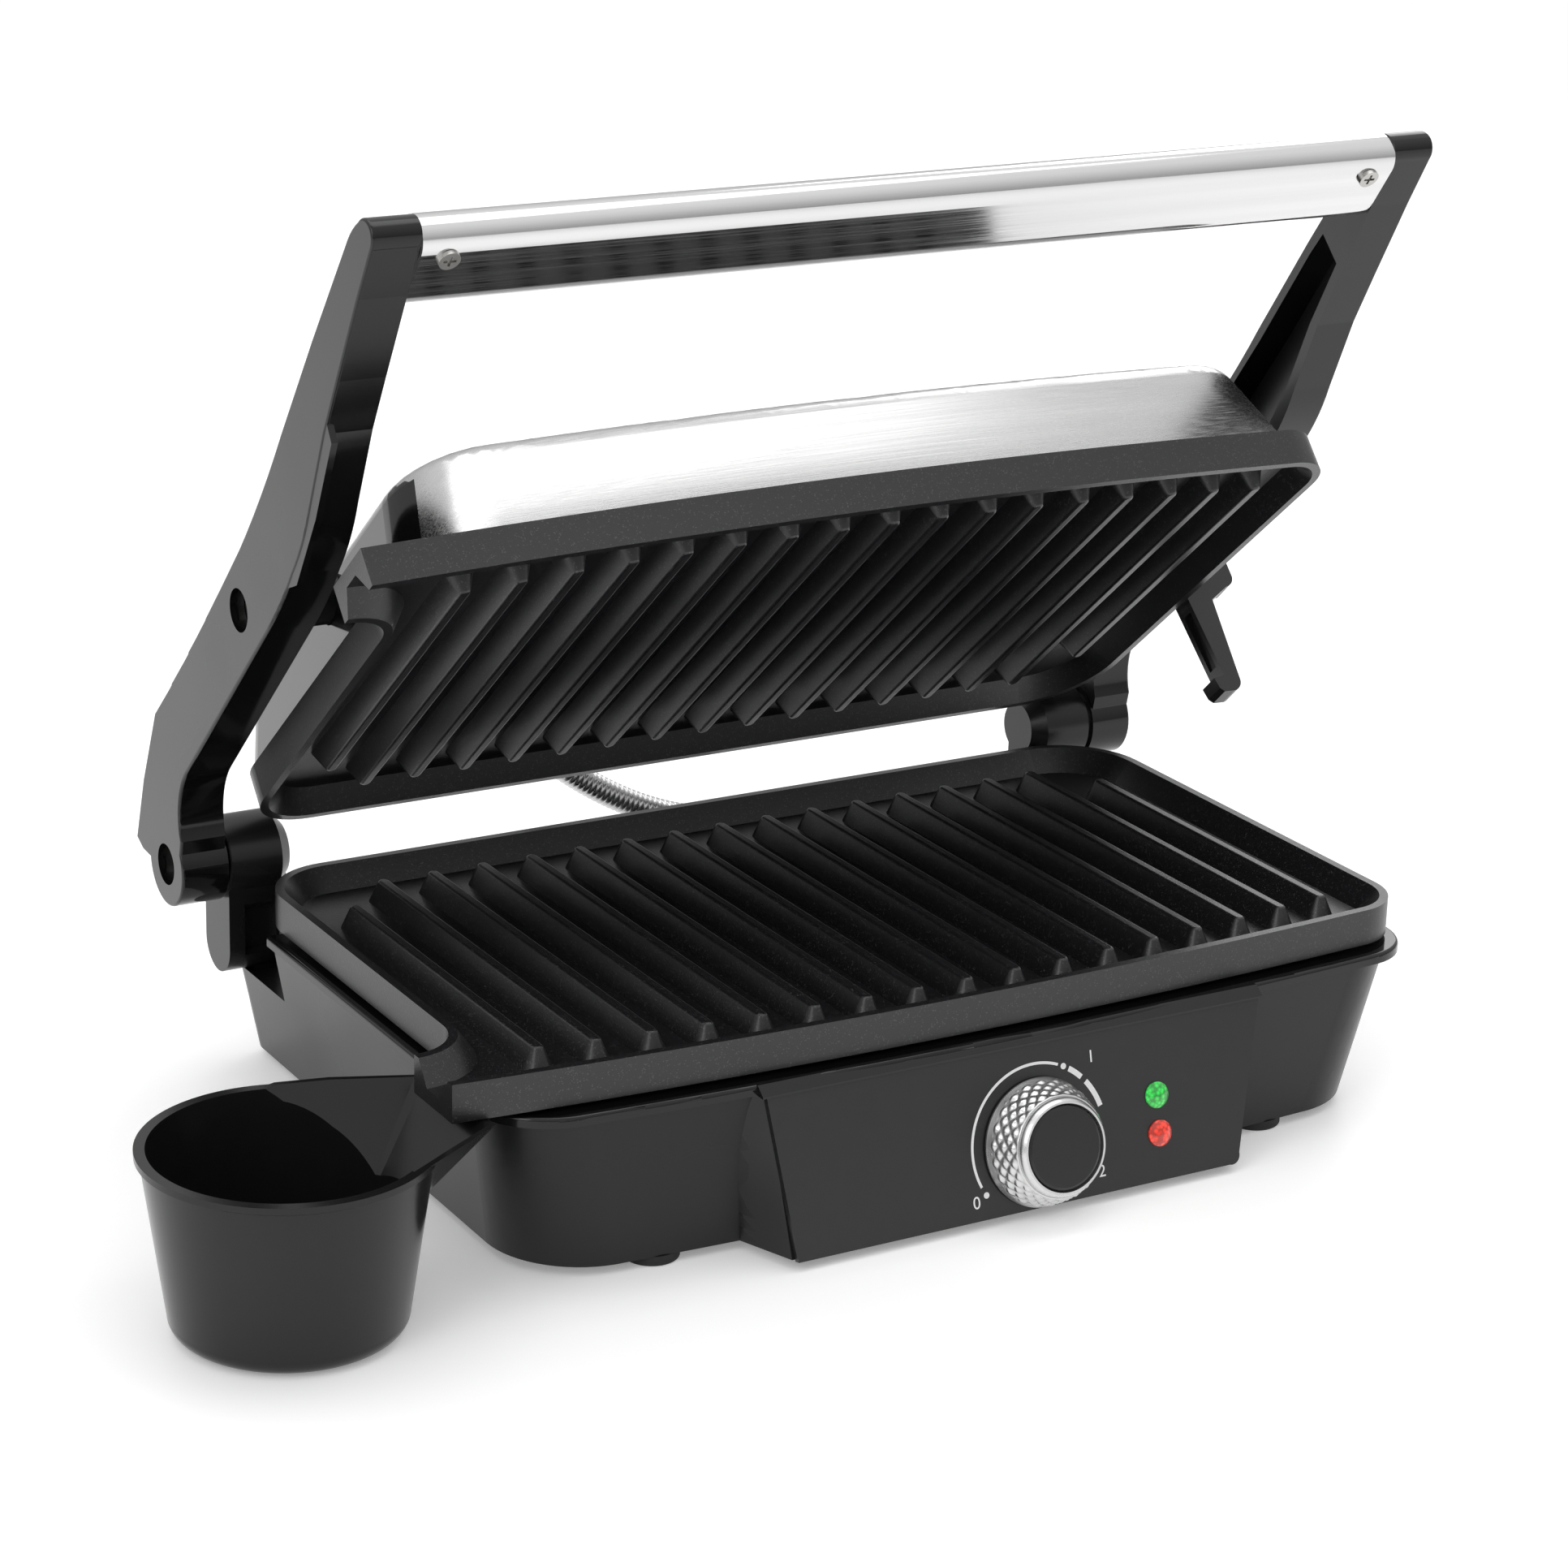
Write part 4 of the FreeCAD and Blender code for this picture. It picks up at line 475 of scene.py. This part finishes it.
def studio_sky():
    """A white tent: brightest overhead, dimmer towards the horizon."""
    world = bpy.data.worlds.new("studio")
    bpy.context.scene.world = world
    world.use_nodes = True
    tree = world.node_tree
    place = tree.nodes.new("ShaderNodeTexCoord")
    apart = tree.nodes.new("ShaderNodeSeparateXYZ")
    height = tree.nodes.new("ShaderNodeMapRange")
    tree.links.new(place.outputs["Generated"], apart.inputs["Vector"])
    tree.links.new(apart.outputs["Z"], height.inputs["Value"])
    for key, number in (("From Min", 0.0), ("From Max", 0.75), ("To Min", SKY_LOW), ("To Max", SKY_HIGH)):
        height.inputs[key].default_value = number
    tree.links.new(height.outputs["Result"], tree.nodes["Background"].inputs["Strength"])
    tree.nodes["Background"].inputs["Color"].default_value = (1.0, 1.0, 1.0, 1.0)


studio_sky()
bpy.context.scene.view_settings.view_transform = "Standard"

floor_mesh = mesh_of("floor", [(-6, -6, 0), (6, -6, 0), (6, 6, 0), (-6, 6, 0)], [(0, 1, 2, 3)])
FLOOR_GLOW = 0.24
floor_paint = Paint("floor_white", (0.90, 0.90, 0.90), 0.5,
                    Emission_Color=(1.0, 1.0, 1.0, 1.0), Emission_Strength=FLOOR_GLOW)
floor_paint.roughness(floor_paint.ramp(floor_paint.noise(4.0), 0.3, 0.7, 0.45, 0.55))
floor = bpy.data.objects.new("floor", floor_mesh)
bpy.context.scene.collection.objects.link(floor)
floor.data.materials.append(floor_paint.material)


def soft_light(name, place, aim, size, power):
    """A rectangular soft box."""
    lamp = bpy.data.lights.new(name, "AREA")
    lamp.shape = "RECTANGLE"
    lamp.size, lamp.size_y = size
    lamp.energy = power
    item = bpy.data.objects.new(name, lamp)
    bpy.context.scene.collection.objects.link(item)
    item.location = place
    item.rotation_euler = (Vector(aim) - Vector(place)).to_track_quat("-Z", "Y").to_euler()
    return item


soft_light("overhead", (0.1, 0.2, 1.6), (0.0, 0.05, 0.1), (1.6, 1.0), 7.0)
soft_light("key_left", (-1.3, -0.7, 1.0), (0.0, 0.0, 0.12), (0.6, 1.0), 4.0)
soft_light("rear_right", (1.1, 0.9, 0.9), (0.0, 0.0, 0.12), (0.5, 1.0), 3.0)

CAMERA_PLACE = Vector((-0.56488, -0.98399, 0.49392))
YAW, PITCH, ROLL = 0.536247, 0.331247, 0.0300658
LENS, SENSOR = 95.42, 36.0
ahead = Vector((math.sin(YAW) * math.cos(PITCH), math.cos(YAW) * math.cos(PITCH), -math.sin(PITCH)))
right = Vector((math.cos(YAW), -math.sin(YAW), 0.0))
above = right.cross(ahead)
tilted_right = math.cos(ROLL) * right + math.sin(ROLL) * above
tilted_above = math.cos(ROLL) * above - math.sin(ROLL) * right
lens = bpy.data.cameras.new("camera")
lens.lens, lens.sensor_width, lens.sensor_fit = LENS, SENSOR, "HORIZONTAL"
camera = bpy.data.objects.new("camera", lens)
bpy.context.scene.collection.objects.link(camera)
camera.matrix_world = Matrix.Translation(CAMERA_PLACE) @ Matrix(
    (tilted_right, tilted_above, -ahead)).transposed().to_4x4()
bpy.context.scene.camera = camera
